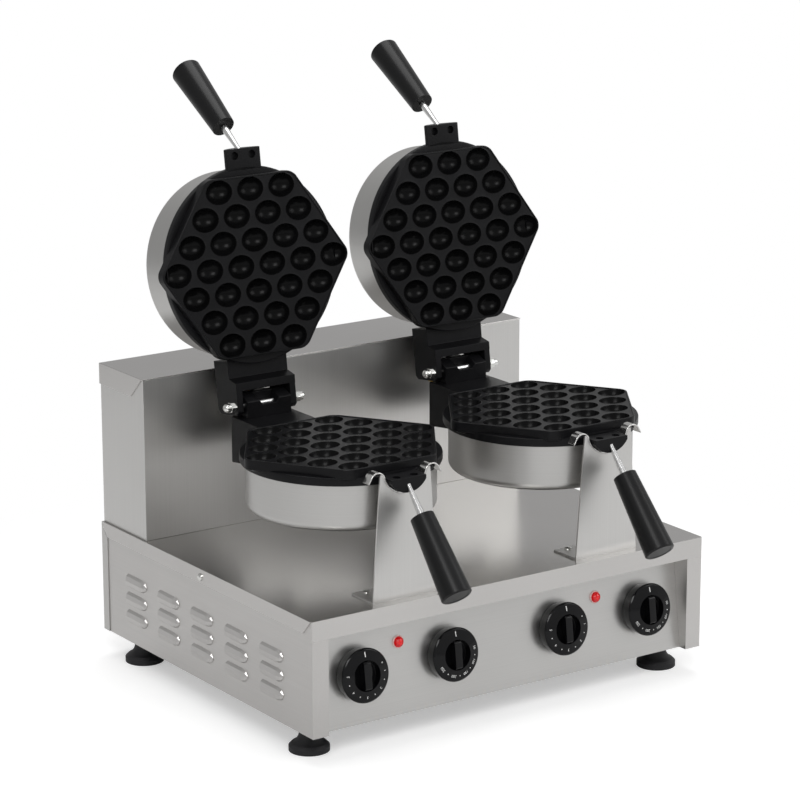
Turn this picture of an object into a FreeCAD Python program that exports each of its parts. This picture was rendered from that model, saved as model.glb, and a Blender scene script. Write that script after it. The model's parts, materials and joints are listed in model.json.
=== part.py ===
import FreeCAD, Part

import math
import os

V = FreeCAD.Vector

# Double egg-waffle machine: two hinged, turning irons on one sheet-steel cabinet.
# Lengths are millimetres and angles are degrees. While it is built, X is 0 in the middle,
# Y is 0 at the front lip and Z is 0 on the surface that the feet stand on.

# Cabinet
BASE_WIDTH = 520.0
BASE_DEPTH = 436.0
BASE_HEIGHT = 128.0
SHEET = 1.2
FRONT_LIP = 22.0
SIDE_FLAP = 16.0
FLAP_SETBACK = 1.6
FLAP_MITRE = 14.4
REAR_FLANGE = 12.0
POST_WIDTH = 20.0
POST_RETURN = 30.0
BOTTOM_FLANGE = 15.0
WIRE_SLOT_LENGTH = 400.0
WIRE_SLOT_WIDTH = 60.0

# Louvres in the side panels
LOUVRE_COLUMNS = 5
LOUVRE_ROWS = 3
LOUVRE_PITCH = 70.6
LOUVRE_ROW_PITCH = 21.0
LOUVRE_LENGTH = 41.0
LOUVRE_HEIGHT = 15.0
LOUVRE_BULGE = 4.0
LOUVRE_MIDDLE_HEIGHT = 52.0
LOUVRE_NOSE = 10.0
LOUVRE_SIDES = 4
LOUVRE_NOSE_SHARES = (0.75, 0.25)

# Slots in the bottom cover
VENT_COUNT = 12
VENT_PITCH = 30.0
VENT_LENGTH = 120.0
VENT_WIDTH = 6.0

# Feet
FOOT_HEIGHT = 30.0
FOOT_RADIUS = 22.0
FOOT_RIM = 5.5
FOOT_SHOULDER = 19.0
FOOT_NECK_RADIUS = 11.0
FOOT_NECK_HEIGHT = 21.0
FOOT_WAIST_RADIUS = 13.2
FOOT_WAIST_HEIGHT = 13.0
FOOT_FROM_SIDE = 26.0
FOOT_FROM_END = 46.0
STUD_RADIUS = 4.0
STUD_DEPTH = 16.0
STUD_ABOVE = 10.0
NUT_RADIUS = 7.5
NUT_HEIGHT = 6.5

# Control panel, knobs and lamps
PANEL_LEAN = 7.5
PANEL_SETBACK = 10.4
PANEL_FLANGE = 20.0
KNOB_X = (-190.0, -74.0, 74.0, 190.0)
KNOB_NAMES = ("left_timer", "left_thermostat", "right_timer", "right_thermostat")
CONTROL_HEIGHT = 53.4
LAMP_X = (-138.0, 125.0)
LAMP_HEIGHT = 77.7
KNOB_GAP = 1.0
KNOB_RADIUS = 29.5
KNOB_TAPER = 1.4
KNOB_SKIRT = 12.5
KNOB_EDGE = 1.6
KNOB_CREST = 16.5
WELL_RADIUS = 16.5
WELL_SLOPE = 1.0
WELL_DEPTH = 8.0
GRIP_BAR_WIDTH = 9.0
GRIP_BAR_RISE = 2.0
HUB_DEPTH = 6.0
SPINDLE_RADIUS = 3.0
SPINDLE_FLAT = 1.0
SPINDLE_IN_KNOB = 8.0
SPINDLE_IN_SWITCH = 16.0
SPINDLE_HOLE_RADIUS = 5.0
RUNNING_FIT = 0.05
TIMER_WIDTH = 44.0
TIMER_HEIGHT = 48.0
TIMER_DEPTH = 36.0
THERMOSTAT_RADIUS = 21.0
THERMOSTAT_DEPTH = 26.0
TAB_WIDTH = 6.3
TAB_LENGTH = 9.0
TAB_THICKNESS = 0.8
TAB_OFFSET = 12.0
LENS_RADIUS = 6.0
LENS_HEIGHT = 4.5
BEZEL_RADIUS = 7.2
BEZEL_HEIGHT = 1.5
LAMP_BODY_RADIUS = 4.9
LAMP_BODY_DEPTH = 28.0

# Rear housing
HOUSING_INSET = 1.7
HOUSING_FRONT = 340.0
HOUSING_HEIGHT = 185.0
LID_FLAP = 24.0
LID_FLAP_SETBACK = 1.7
HOUSING_FLANGE = 12.0
SHAFT_HOLE_RADIUS = 17.0

# Terminal block and cable gland
TERMINAL_LENGTH = 66.0
TERMINAL_DEPTH = 22.0
TERMINAL_HEIGHT = 18.0
TERMINAL_WAYS = 5
TERMINAL_SCREW_RADIUS = 3.5
TERMINAL_SCREW_DEPTH = 4.0
TERMINAL_FROM_REAR = 60.0
GLAND_X = -180.0
GLAND_ABOVE_BASE = 45.0
GLAND_BORE_RADIUS = 4.5
GLAND_NECK_RADIUS = 8.0
GLAND_NUT_RADIUS = 12.0
GLAND_NUT_HEIGHT = 4.0
GLAND_NOSE = 9.0
GLAND_TAIL = 8.0

# Irons: both castings share these, measured from the parting plane and the pan's centre
PAN_X = 133.5
PAN_Y = 134.0
AXIS_HEIGHT = 270.5
PARTING_GAP = 0.4
RIM_WIDTH = 1.6
RIM_RISE = 0.8
HEX_POINT = 122.0
HEX_FLAT = 99.0
HEX_SHOULDER = 56.0
HEX_CORNER = 14.0
PLATE_WALL = 9.5
FLANGE_RADIUS = 109.0
FLANGE_THICKNESS = 9.5
CAVITY_ROWS = (3, 4, 5, 6, 5, 4, 3)
CAVITY_PITCH = 40.0
CAVITY_ROW_PITCH = 28.0
CAVITY_LENGTH = 32.0
CAVITY_WIDTH = 25.6
CAVITY_DEPTH = 12.0
CAVITY_SIDES = 10
CAVITY_SIZE_SHARES = (1.0, 0.87, 0.5)
CAVITY_DEPTH_SHARES = (0.0, 0.5, 1.0)

# Cups and heating rings
CUP_RADIUS = 103.0
CUP_HEIGHT = 52.0
CUP_EDGE = 9.0
CUP_SHEET = 1.2
HEATER_RADIUS = 75.0
HEATER_WIDTH = 12.0
HEATER_HEIGHT = 6.0
HEATER_GAP = 0.3
HEATER_OPENING = 24.0
HEATER_PIN_RADIUS = 3.0
HEATER_PIN_LENGTH = 18.0

# Journal lug at the front of each casting
LUG_END = 128.5
LUG_HALF_WIDTH = 22.0
JOURNAL_RADIUS = 26.0
JOURNAL_BACK = 104.0
LUG_HOLE_RADIUS = 4.5
LUG_HOLE_DEPTH = 5.0
LUG_HOLE_X = 11.0
LUG_HOLE_FROM_END = 7.5

# Handles
HANDLE_SLOPE = 48.5
HANDLE_ROOT_DROP = 20.0
ROD_RADIUS = 2.6
ROD_GRIP_RADIUS = 3.2
ROD_IN_LUG = 9.0
ROD_VISIBLE = 35.0
ROD_IN_GRIP = 40.0
ROD_COLLAR_START = 5.0
ROD_COLLAR_LENGTH = 3.0
ROD_COLLAR_RADIUS = 4.0
GRIP_LENGTH = 95.0
GRIP_NEAR_RADIUS = 13.0
GRIP_FAR_RADIUS = 17.0
GRIP_EDGE = 2.5
ROD_CLEARANCE = 0.05

# Hinge, with places measured from the pan's centre and the parting plane
PIN_BACK = 153.0
PIN_RISE = 10.5
PIN_RADIUS = 4.0
LID_OPEN_ANGLE = 98.0
BLOCK_HALF_WIDTH = 37.0
BLOCK_FRONT = 106.0
BLOCK_BACK = 164.0
BLOCK_DROP = 55.5
BLOCK_HEEL = 125.0
BLOCK_HEEL_DROP = 50.5
BLOCK_TOE_DROP = 38.0
BLOCK_STEP = 8.0
NECK_START = 123.0
NECK_END = 136.0
NECK_HALF_WIDTH = 29.5
KNUCKLE_HALF_WIDTH = 28.5
KNUCKLE_FRONT = 142.0
KNUCKLE_RISE = 16.5
KNUCKLE_ROUND = 3.0
NOTCH_TOP_WIDTH = 25.0
NOTCH_FLOOR_WIDTH = 19.0
NOTCH_FLOOR_RISE = 8.5
EAR_INNER = 30.5
EAR_OUTER = 38.5
EAR_RADIUS = 14.0
EAR_FRONT_RISE = 4.0
ARM_FRONT = 104.0
ARM_BACK = 127.0
ARM_FACE_RISE = 18.0
ARM_TOP_RISE = 48.0
ARM_TOP_SETBACK = 12.0
CROSSBAR_BACK = 136.0
ACORN_HEX_RADIUS = 6.5
ACORN_HEX_LENGTH = 5.0
ACORN_DOME_RADIUS = 5.2
ACORN_BORE_DEPTH = 7.0
PIN_CLEARANCE = 0.05

# Hollow shaft, its bearing and collar
SHAFT_RADIUS = 15.0
SHAFT_BORE_RADIUS = 9.0
SHAFT_END = 395.0
SHAFT_FLANGE_RADIUS = 24.0
SHAFT_FLANGE = 5.0
BEARING_FLANGE_RADIUS = 32.0
BEARING_FLANGE = 5.0
BEARING_HUB_RADIUS = 23.0
BEARING_LENGTH = 26.0
COLLAR_RADIUS = 22.0
COLLAR_LENGTH = 10.0
COLLAR_GAP = 0.3

# Saddle that carries the journal, with places measured from the turning axis
BRACKET_SHEET = 2.0
BRACKET_FRONT = 12.5
BRACKET_FOOT_HALF_WIDTH = 41.5
BRACKET_TOP_HALF_WIDTH = 31.5
BRACKET_TOP_DROP = 4.0
BRACKET_FOOT_LENGTH = 40.0
STRIP_SHEET = 1.5
STRIP_WIDTH = 11.5
JOURNAL_CLEARANCE = 0.3
WELD_GAP = 0.1
EAR_CURL_RADIUS = 9.0
EAR_CURL_X = 34.5
EAR_CURL_TURN = 60.0
EAR_TIP_LENGTH = 7.0

# Screws
SCREW_RADIUS = 2.0
SCREW_CLEARANCE = 0.1
SCREW_HEAD_RADIUS = 4.2
SCREW_HEAD_HEIGHT = 2.6
SCREW_DEPTH = 8.0
BRACKET_SCREW_X = 27.0
BRACKET_SCREW_Y = 46.0
FLAP_SCREW_Y = 220.0
FLAP_SCREW_DROP = 9.3

# How far cutting shapes run past the faces that they cut
OVERRUN = 1.0

BASE_Z = FOOT_HEIGHT
TOP_Z = FOOT_HEIGHT + BASE_HEIGHT
AXIS_Z = FOOT_HEIGHT + AXIS_HEIGHT
HALF_WIDTH = BASE_WIDTH / 2
SIDE_FACE = HALF_WIDTH - SHEET
POST_INNER = SIDE_FACE - POST_WIDTH
FLANGE_FACE = -PLATE_WALL
CASTING_BACK = FLANGE_FACE - FLANGE_THICKNESS
RIM_FACE = -PARTING_GAP / 2
WEB_FACE = RIM_FACE - RIM_RISE
JOURNAL_SEAT = JOURNAL_RADIUS + JOURNAL_CLEARANCE
STRIP_MIDDLE = JOURNAL_SEAT + STRIP_SHEET / 2
EAR_CURL_DROP = math.sqrt((STRIP_MIDDLE + EAR_CURL_RADIUS) ** 2 - EAR_CURL_X**2)


def block(x0, x1, y0, y1, z0, z1):
    """A box between two opposite corners."""
    return Part.makeBox(x1 - x0, y1 - y0, z1 - z0, V(x0, y0, z0))


def yz_prism(outline, x0, x1):
    """A prism along X over a closed (y, z) outline."""
    points = [V(x0, y, z) for y, z in outline]
    face = Part.Face(Part.makePolygon(points + points[:1]))
    return face.extrude(V(x1 - x0, 0, 0))


def xz_prism(outline, y0, y1):
    """A prism along Y over a closed (x, z) outline."""
    points = [V(x, y0, z) for x, z in outline]
    face = Part.Face(Part.makePolygon(points + points[:1]))
    return face.extrude(V(0, y1 - y0, 0))


def xy_prism(outline, z0, z1):
    """A prism along Z over a closed (x, y) outline."""
    points = [V(x, y, z0) for x, y in outline]
    face = Part.Face(Part.makePolygon(points + points[:1]))
    return face.extrude(V(0, 0, z1 - z0))


def turned(outline):
    """A solid of revolution about Z over a closed (radius, height) outline."""
    points = [V(radius, 0, height) for radius, height in outline]
    face = Part.Face(Part.makePolygon(points + points[:1]))
    return face.revolve(V(0, 0, 0), V(0, 0, 1), 360)


def turned_edges(edges):
    """A solid of revolution about Z over a closed chain of edges in the XZ plane."""
    face = Part.Face(Part.Wire(edges))
    return face.revolve(V(0, 0, 0), V(0, 0, 1), 360)


def along(shape, point, direction):
    """Stand a shape made about Z at a point, with its +Z along a direction."""
    placed = shape.copy()
    placed.Placement = FreeCAD.Placement(point, FreeCAD.Rotation(V(0, 0, 1), direction))
    return placed


def moved(shape, x, y, z):
    """A copy of a shape at an offset."""
    placed = shape.copy()
    placed.translate(V(x, y, z))
    return placed


def other_side(shape):
    """The mirror copy across the machine's middle plane."""
    return shape.mirror(V(0, 0, 0), V(1, 0, 0))


def screw_hole(point, direction, length):
    """A clearance hole for one screw."""
    return Part.makeCylinder(SCREW_RADIUS + SCREW_CLEARANCE, length, point, direction)


# Places on the leaning control panel

def panel_y(height):
    """Where the panel's outer face stands at a height above the cabinet's bottom."""
    return PANEL_SETBACK + height * math.tan(math.radians(PANEL_LEAN))


def on_panel(shape, x, height):
    """Stand a shape made about +Z on the panel's face, pointing out of it."""
    placed = shape.copy()
    turn = FreeCAD.Rotation(V(1, 0, 0), 90 - PANEL_LEAN)
    placed.Placement = FreeCAD.Placement(V(x, panel_y(height), BASE_Z + height), turn)
    return placed


# Cabinet

def bracket_screw_places():
    """The four places of the bracket screws on the worktop."""
    return [
        (side * PAN_X + hand * BRACKET_SCREW_X, BRACKET_SCREW_Y)
        for side in (-1, 1)
        for hand in (-1, 1)
    ]


def worktop():
    """Pressed tray: top plate, front lip and a mitred flap over each side panel."""
    plate = block(-SIDE_FACE, SIDE_FACE, 0, BASE_DEPTH, TOP_Z - SHEET, TOP_Z)
    lip = block(-SIDE_FACE, SIDE_FACE, 0, SHEET, TOP_Z - FRONT_LIP, TOP_Z)
    flap_outline = [
        (FLAP_SETBACK, TOP_Z),
        (BASE_DEPTH, TOP_Z),
        (BASE_DEPTH - REAR_FLANGE, TOP_Z - SIDE_FLAP),
        (FLAP_SETBACK + FLAP_MITRE, TOP_Z - SIDE_FLAP),
    ]
    left_flap = yz_prism(flap_outline, -HALF_WIDTH, -SIDE_FACE)
    tray = plate.multiFuse([lip, left_flap, other_side(left_flap)]).removeSplitter()
    slot_y = (HOUSING_FRONT + BASE_DEPTH) / 2
    cuts = [
        block(
            -WIRE_SLOT_LENGTH / 2,
            WIRE_SLOT_LENGTH / 2,
            slot_y - WIRE_SLOT_WIDTH / 2,
            slot_y + WIRE_SLOT_WIDTH / 2,
            TOP_Z - SHEET - OVERRUN,
            TOP_Z + OVERRUN,
        )
    ]
    for x, y in bracket_screw_places():
        start = V(x, y, TOP_Z - SHEET - OVERRUN)
        cuts.append(screw_hole(start, V(0, 0, 1), SHEET + 2 * OVERRUN))
    for side in (-1, 1):
        start = V(side * (HALF_WIDTH + OVERRUN), FLAP_SCREW_Y, TOP_Z - FLAP_SCREW_DROP)
        cuts.append(screw_hole(start, V(-side, 0, 0), SHEET + 2 * OVERRUN))
    return tray.cut(Part.Compound(cuts))


def louvre_section(y, middle_z, size, wall):
    """One arched section of a louvre, closed inside the sheet or behind it."""
    half = (LOUVRE_HEIGHT / 2 - wall) * size
    bulge = (LOUVRE_BULGE - wall) * size
    inside = -SIDE_FACE + (SHEET / 2 if wall == 0 else SHEET + OVERRUN)
    points = [V(inside, y, middle_z - half)]
    for step in range(LOUVRE_SIDES + 1):
        turn = math.pi * step / LOUVRE_SIDES
        rise = -SIDE_FACE - bulge * math.sin(turn)
        points.append(V(rise, y, middle_z - half * math.cos(turn)))
    points.append(V(inside, y, middle_z + half))
    return Part.makePolygon(points + points[:1])


def louvre(rear_y, middle_z, wall):
    """A scoop that is open at its rear end and closes into the sheet at its nose."""
    front_y = rear_y - LOUVRE_LENGTH + wall
    sections = [
        louvre_section(rear_y, middle_z, 1.0, wall),
        louvre_section(front_y + LOUVRE_NOSE, middle_z, 1.0, wall),
        louvre_section(front_y + LOUVRE_NOSE / 3, middle_z, LOUVRE_NOSE_SHARES[0], wall),
        louvre_section(front_y, middle_z, LOUVRE_NOSE_SHARES[1], wall),
    ]
    return Part.makeLoft(sections, True, True)


def louvre_places():
    """Rear end and middle height of every louvre on a side panel."""
    first_y = BASE_DEPTH / 2 - LOUVRE_PITCH * (LOUVRE_COLUMNS - 1) / 2
    first_z = BASE_Z + LOUVRE_MIDDLE_HEIGHT - LOUVRE_ROW_PITCH * (LOUVRE_ROWS - 1) / 2
    return [
        (
            first_y + column * LOUVRE_PITCH + LOUVRE_LENGTH / 2,
            first_z + row * LOUVRE_ROW_PITCH,
        )
        for column in range(LOUVRE_COLUMNS)
        for row in range(LOUVRE_ROWS)
    ]


def left_side_panel():
    """Side sheet folded round the front corner as a post, with louvres."""
    rear = BASE_DEPTH - SHEET
    inner = -SIDE_FACE + SHEET
    side = block(-SIDE_FACE, inner, 0, rear, BASE_Z, TOP_Z - FRONT_LIP)
    upper = block(-SIDE_FACE, inner, SHEET, rear, TOP_Z - FRONT_LIP, TOP_Z - SHEET)
    post = block(-SIDE_FACE, -POST_INNER, 0, SHEET, BASE_Z, TOP_Z - FRONT_LIP)
    fold = block(-POST_INNER - SHEET, -POST_INNER, 0, POST_RETURN, BASE_Z, TOP_Z - FRONT_LIP)
    flange_z = BASE_Z + SHEET
    flange = block(
        inner, -SIDE_FACE + BOTTOM_FLANGE, POST_RETURN, rear, flange_z, flange_z + SHEET
    )
    scoops = [louvre(y, z, 0) for y, z in louvre_places()]
    hollows = [louvre(y, z, SHEET) for y, z in louvre_places()]
    panel = side.multiFuse([upper, post, fold, flange] + scoops).removeSplitter()
    start = V(-SIDE_FACE - OVERRUN, FLAP_SCREW_Y, TOP_Z - FLAP_SCREW_DROP)
    hollows.append(screw_hole(start, V(1, 0, 0), SHEET + 2 * OVERRUN))
    return panel.cut(Part.Compound(hollows))


def rear_panel():
    """Back sheet with a flange folded round each rear corner and the gland's hole."""
    sheet = block(
        -SIDE_FACE, SIDE_FACE, BASE_DEPTH - SHEET, BASE_DEPTH, BASE_Z, TOP_Z - SHEET
    )
    flange_outline = [
        (BASE_DEPTH - REAR_FLANGE, BASE_Z),
        (BASE_DEPTH, BASE_Z),
        (BASE_DEPTH, TOP_Z - SHEET),
        (BASE_DEPTH - REAR_FLANGE, TOP_Z - SIDE_FLAP - SHEET),
    ]
    flange = yz_prism(flange_outline, -HALF_WIDTH, -SIDE_FACE)
    hole = Part.makeCylinder(
        GLAND_NECK_RADIUS + SCREW_CLEARANCE,
        SHEET + 2 * OVERRUN,
        V(GLAND_X, BASE_DEPTH - SHEET - OVERRUN, BASE_Z + GLAND_ABOVE_BASE),
        V(0, 1, 0),
    )
    return sheet.multiFuse([flange, other_side(flange)]).removeSplitter().cut(hole)


def foot_places():
    """Centres of the four feet."""
    return [
        (side * (HALF_WIDTH - FOOT_FROM_SIDE), y)
        for side in (-1, 1)
        for y in (FOOT_FROM_END, BASE_DEPTH - FOOT_FROM_END)
    ]


def bottom_cover():
    """Flat cover inside the side panels, with a row of vent slots and the stud holes."""
    inner = SIDE_FACE - SHEET
    front = PANEL_SETBACK + SHEET + PANEL_FLANGE
    cover = block(-inner, inner, front, BASE_DEPTH - SHEET, BASE_Z, BASE_Z + SHEET)
    under = BASE_Z - OVERRUN
    over = BASE_Z + SHEET + OVERRUN
    cuts = []
    middle_y = BASE_DEPTH / 2
    for number in range(VENT_COUNT):
        x = (number - (VENT_COUNT - 1) / 2) * VENT_PITCH
        cuts.append(
            block(
                x - VENT_WIDTH / 2,
                x + VENT_WIDTH / 2,
                middle_y - VENT_LENGTH / 2,
                middle_y + VENT_LENGTH / 2,
                under,
                over,
            )
        )
    for x, y in foot_places():
        cuts.append(
            Part.makeCylinder(STUD_RADIUS + SCREW_CLEARANCE, over - under, V(x, y, under))
        )
    return cover.cut(Part.Compound(cuts))


def foot():
    """Black bell foot about Z, standing on z = 0, with a blind hole for its stud."""
    stud_hole = STUD_RADIUS + SCREW_CLEARANCE
    floor = FOOT_HEIGHT - STUD_DEPTH
    corners = [
        V(FOOT_NECK_RADIUS, 0, FOOT_NECK_HEIGHT),
        V(FOOT_NECK_RADIUS, 0, FOOT_HEIGHT),
        V(stud_hole, 0, FOOT_HEIGHT),
        V(stud_hole, 0, floor),
        V(0, 0, floor),
        V(0, 0, 0),
        V(FOOT_RADIUS, 0, 0),
        V(FOOT_RADIUS, 0, FOOT_RIM),
        V(FOOT_SHOULDER, 0, FOOT_RIM + FOOT_RADIUS - FOOT_SHOULDER),
    ]
    edges = [Part.makeLine(a, b) for a, b in zip(corners, corners[1:])]
    waist = V(FOOT_WAIST_RADIUS, 0, FOOT_WAIST_HEIGHT)
    edges.append(Part.Arc(corners[-1], waist, corners[0]).toShape())
    return turned_edges(edges)


def feet():
    """The four feet."""
    return Part.Compound([moved(foot(), x, y, 0) for x, y in foot_places()])


def foot_studs():
    """Four studs, each with its nut on the bottom cover."""
    nut = xy_prism(hexagon(NUT_RADIUS), BASE_Z + SHEET, BASE_Z + SHEET + NUT_HEIGHT)
    length = STUD_DEPTH + SHEET + STUD_ABOVE
    shank = Part.makeCylinder(STUD_RADIUS, length, V(0, 0, FOOT_HEIGHT - STUD_DEPTH))
    stud = shank.fuse(nut)
    return Part.Compound([moved(stud, x, y, 0) for x, y in foot_places()])


def hexagon(radius):
    """Corners of a regular hexagon."""
    turns = [math.pi * corner / 3 for corner in range(6)]
    return [(radius * math.cos(turn), radius * math.sin(turn)) for turn in turns]


# Control panel

def control_panel():
    """Leaning sheet between the posts, with a bottom flange and a top flange."""
    top = BASE_HEIGHT - FRONT_LIP
    wall = SHEET / math.cos(math.radians(PANEL_LEAN))
    outline = [
        (panel_y(0), BASE_Z),
        (panel_y(0) + SHEET + PANEL_FLANGE, BASE_Z),
        (panel_y(0) + SHEET + PANEL_FLANGE, BASE_Z + SHEET),
        (panel_y(SHEET) + wall, BASE_Z + SHEET),
        (panel_y(top) + wall, BASE_Z + top),
        (panel_y(top) + wall, BASE_Z + top + SHEET),
        (SHEET, BASE_Z + top + SHEET),
        (SHEET, BASE_Z + top),
        (panel_y(top), BASE_Z + top),
    ]
    sheet = yz_prism(outline, -POST_INNER, POST_INNER)
    reach = SHEET + 2 * OVERRUN
    spindle_hole = Part.makeCylinder(SPINDLE_HOLE_RADIUS, reach, V(0, 0, -SHEET - OVERRUN))
    lamp_radius = LAMP_BODY_RADIUS + SCREW_CLEARANCE
    lamp_hole = Part.makeCylinder(lamp_radius, reach, V(0, 0, -SHEET - OVERRUN))
    holes = [on_panel(spindle_hole, x, CONTROL_HEIGHT) for x in KNOB_X]
    holes += [on_panel(lamp_hole, x, LAMP_HEIGHT) for x in LAMP_X]
    return sheet.cut(Part.Compound(holes))


def knob():
    """Round knob with a dished ring, a well and a grip bar across the well."""
    crest = KNOB_GAP + KNOB_CREST
    floor = crest - WELL_DEPTH
    bore = SPINDLE_RADIUS + RUNNING_FIT
    body = turned(
        [
            (0, KNOB_GAP),
            (KNOB_RADIUS - KNOB_TAPER, KNOB_GAP),
            (KNOB_RADIUS, KNOB_GAP + KNOB_SKIRT),
            (KNOB_RADIUS - KNOB_EDGE, KNOB_GAP + KNOB_SKIRT + KNOB_EDGE),
            (WELL_RADIUS, crest),
            (WELL_RADIUS - WELL_SLOPE, floor),
            (0, floor),
        ]
    )
    reach = WELL_RADIUS - WELL_SLOPE
    bar = block(
        -GRIP_BAR_WIDTH / 2, GRIP_BAR_WIDTH / 2, -reach, reach, floor, crest + GRIP_BAR_RISE
    )
    bar = bar.common(Part.makeCylinder(reach, crest + GRIP_BAR_RISE))
    socket = Part.makeCylinder(bore, SPINDLE_IN_KNOB, V(0, 0, KNOB_GAP))
    return body.fuse(bar).cut(socket)


def spindle():
    """Spindle from the switch's body into the knob, with a flat."""
    start = -SHEET - SPINDLE_IN_SWITCH + RUNNING_FIT
    end = KNOB_GAP + SPINDLE_IN_KNOB - RUNNING_FIT
    pin = Part.makeCylinder(SPINDLE_RADIUS, end - start, V(0, 0, start))
    flat = block(
        -SPINDLE_RADIUS,
        SPINDLE_RADIUS,
        SPINDLE_RADIUS - SPINDLE_FLAT,
        SPINDLE_RADIUS + OVERRUN,
        KNOB_GAP,
        end + OVERRUN,
    )
    return pin.cut(flat)


def switch_tabs(back):
    """Two push-on terminals that stand out behind a switch's body."""
    tab = block(
        -TAB_WIDTH / 2,
        TAB_WIDTH / 2,
        -TAB_THICKNESS / 2,
        TAB_THICKNESS / 2,
        back - TAB_LENGTH,
        back,
    )
    return [moved(tab, side * TAB_OFFSET, 0, 0) for side in (-1, 1)]


def spindle_bore():
    """The running bore for a spindle in a switch's body."""
    start = -SHEET - SPINDLE_IN_SWITCH
    return Part.makeCylinder(
        SPINDLE_RADIUS + RUNNING_FIT, SPINDLE_IN_SWITCH + OVERRUN, V(0, 0, start)
    )


def timer():
    """Clockwork timer: a square case against the back of the panel."""
    back = -SHEET - TIMER_DEPTH
    case = block(
        -TIMER_WIDTH / 2,
        TIMER_WIDTH / 2,
        -TIMER_HEIGHT / 2,
        TIMER_HEIGHT / 2,
        back,
        -SHEET,
    )
    return case.multiFuse(switch_tabs(back)).cut(spindle_bore())


def thermostat():
    """Round thermostat against the back of the panel."""
    back = -SHEET - THERMOSTAT_DEPTH
    case = Part.makeCylinder(THERMOSTAT_RADIUS, THERMOSTAT_DEPTH, V(0, 0, back))
    return case.multiFuse(switch_tabs(back)).cut(spindle_bore())


def lamp_lens():
    """Domed red lens on its bezel."""
    ball = (LENS_RADIUS**2 + LENS_HEIGHT**2) / (2 * LENS_HEIGHT)
    sunk = ball - LENS_HEIGHT
    cut_angle = math.degrees(math.asin(sunk / ball))
    centre = V(0, 0, BEZEL_HEIGHT - sunk)
    return Part.makeSphere(ball, centre, V(0, 0, 1), cut_angle, 90, 360)


def lamp_body():
    """Bezel on the panel's face and the lamp's barrel behind it."""
    return turned(
        [
            (0, -SHEET - LAMP_BODY_DEPTH),
            (LAMP_BODY_RADIUS, -SHEET - LAMP_BODY_DEPTH),
            (LAMP_BODY_RADIUS, 0),
            (BEZEL_RADIUS, 0),
            (BEZEL_RADIUS, BEZEL_HEIGHT / 2),
            (LENS_RADIUS, BEZEL_HEIGHT),
            (0, BEZEL_HEIGHT),
        ]
    )


# Rear housing

def housing_half_width():
    """Outer face of the housing lid's side flaps."""
    return HALF_WIDTH - HOUSING_INSET


def rear_housing():
    """Four walls with inward foot flanges and a hole in front for each shaft."""
    outer = housing_half_width() - SHEET
    rear = BASE_DEPTH - SHEET
    top = TOP_Z + HOUSING_HEIGHT - SHEET
    shell = block(-outer, outer, HOUSING_FRONT, rear, TOP_Z, top)
    inner = outer - SHEET
    room = block(
        -inner, inner, HOUSING_FRONT + SHEET, rear - SHEET, TOP_Z + SHEET, top + OVERRUN
    )
    opening = block(
        HOUSING_FLANGE - inner,
        inner - HOUSING_FLANGE,
        HOUSING_FRONT + HOUSING_FLANGE,
        rear - HOUSING_FLANGE,
        TOP_Z - OVERRUN,
        TOP_Z + SHEET + OVERRUN,
    )
    holes = [
        Part.makeCylinder(
            SHAFT_HOLE_RADIUS,
            SHEET + 2 * OVERRUN,
            V(side * PAN_X, HOUSING_FRONT - OVERRUN, AXIS_Z),
            V(0, 1, 0),
        )
        for side in (-1, 1)
    ]
    return shell.cut(Part.Compound([room])).cut(Part.Compound([opening] + holes))


def rear_housing_lid():
    """Lid with a rear flap and mitred side flaps over the housing's walls."""
    outer = housing_half_width()
    top = TOP_Z + HOUSING_HEIGHT
    plate = block(-outer, outer, HOUSING_FRONT, BASE_DEPTH, top - SHEET, top)
    rear = block(-outer, outer, BASE_DEPTH - SHEET, BASE_DEPTH, top - LID_FLAP, top)
    start = HOUSING_FRONT + LID_FLAP_SETBACK
    flap_outline = [
        (start, top),
        (BASE_DEPTH, top),
        (BASE_DEPTH, top - LID_FLAP),
        (start + LID_FLAP, top - LID_FLAP),
    ]
    flap = yz_prism(flap_outline, -outer, SHEET - outer)
    return plate.multiFuse([rear, flap, other_side(flap)]).removeSplitter()


def terminal_block():
    """Row of screw terminals on the bottom cover."""
    floor = BASE_Z + SHEET
    y1 = BASE_DEPTH - TERMINAL_FROM_REAR
    y0 = y1 - TERMINAL_DEPTH
    top = floor + TERMINAL_HEIGHT
    middle = GLAND_X
    half = TERMINAL_LENGTH / 2
    body = block(middle - half, middle + half, y0, y1, floor, top)
    wells = []
    for way in range(TERMINAL_WAYS):
        x = middle + (way - (TERMINAL_WAYS - 1) / 2) * TERMINAL_LENGTH / TERMINAL_WAYS
        start = V(x, (y0 + y1) / 2, top - TERMINAL_SCREW_DEPTH)
        wells.append(
            Part.makeCylinder(TERMINAL_SCREW_RADIUS, TERMINAL_SCREW_DEPTH + OVERRUN, start)
        )
    return body.cut(Part.Compound(wells))


def cable_gland():
    """Gland in the rear panel, with its nut inside and an open bore."""
    gland = turned(
        [
            (GLAND_BORE_RADIUS, -SHEET - GLAND_TAIL),
            (GLAND_NECK_RADIUS, -SHEET - GLAND_TAIL),
            (GLAND_NECK_RADIUS, -SHEET - GLAND_NUT_HEIGHT),
            (GLAND_NUT_RADIUS, -SHEET - GLAND_NUT_HEIGHT),
            (GLAND_NUT_RADIUS, -SHEET),
            (GLAND_NECK_RADIUS, -SHEET),
            (GLAND_NECK_RADIUS, 0),
            (GLAND_NUT_RADIUS, 0),
            (GLAND_NUT_RADIUS, GLAND_NUT_HEIGHT),
            (GLAND_NECK_RADIUS, GLAND_NOSE),
            (GLAND_BORE_RADIUS, GLAND_NOSE),
        ]
    )
    place = V(GLAND_X, BASE_DEPTH, BASE_Z + GLAND_ABOVE_BASE)
    return along(gland, place, V(0, 1, 0))


# Saddles

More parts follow.
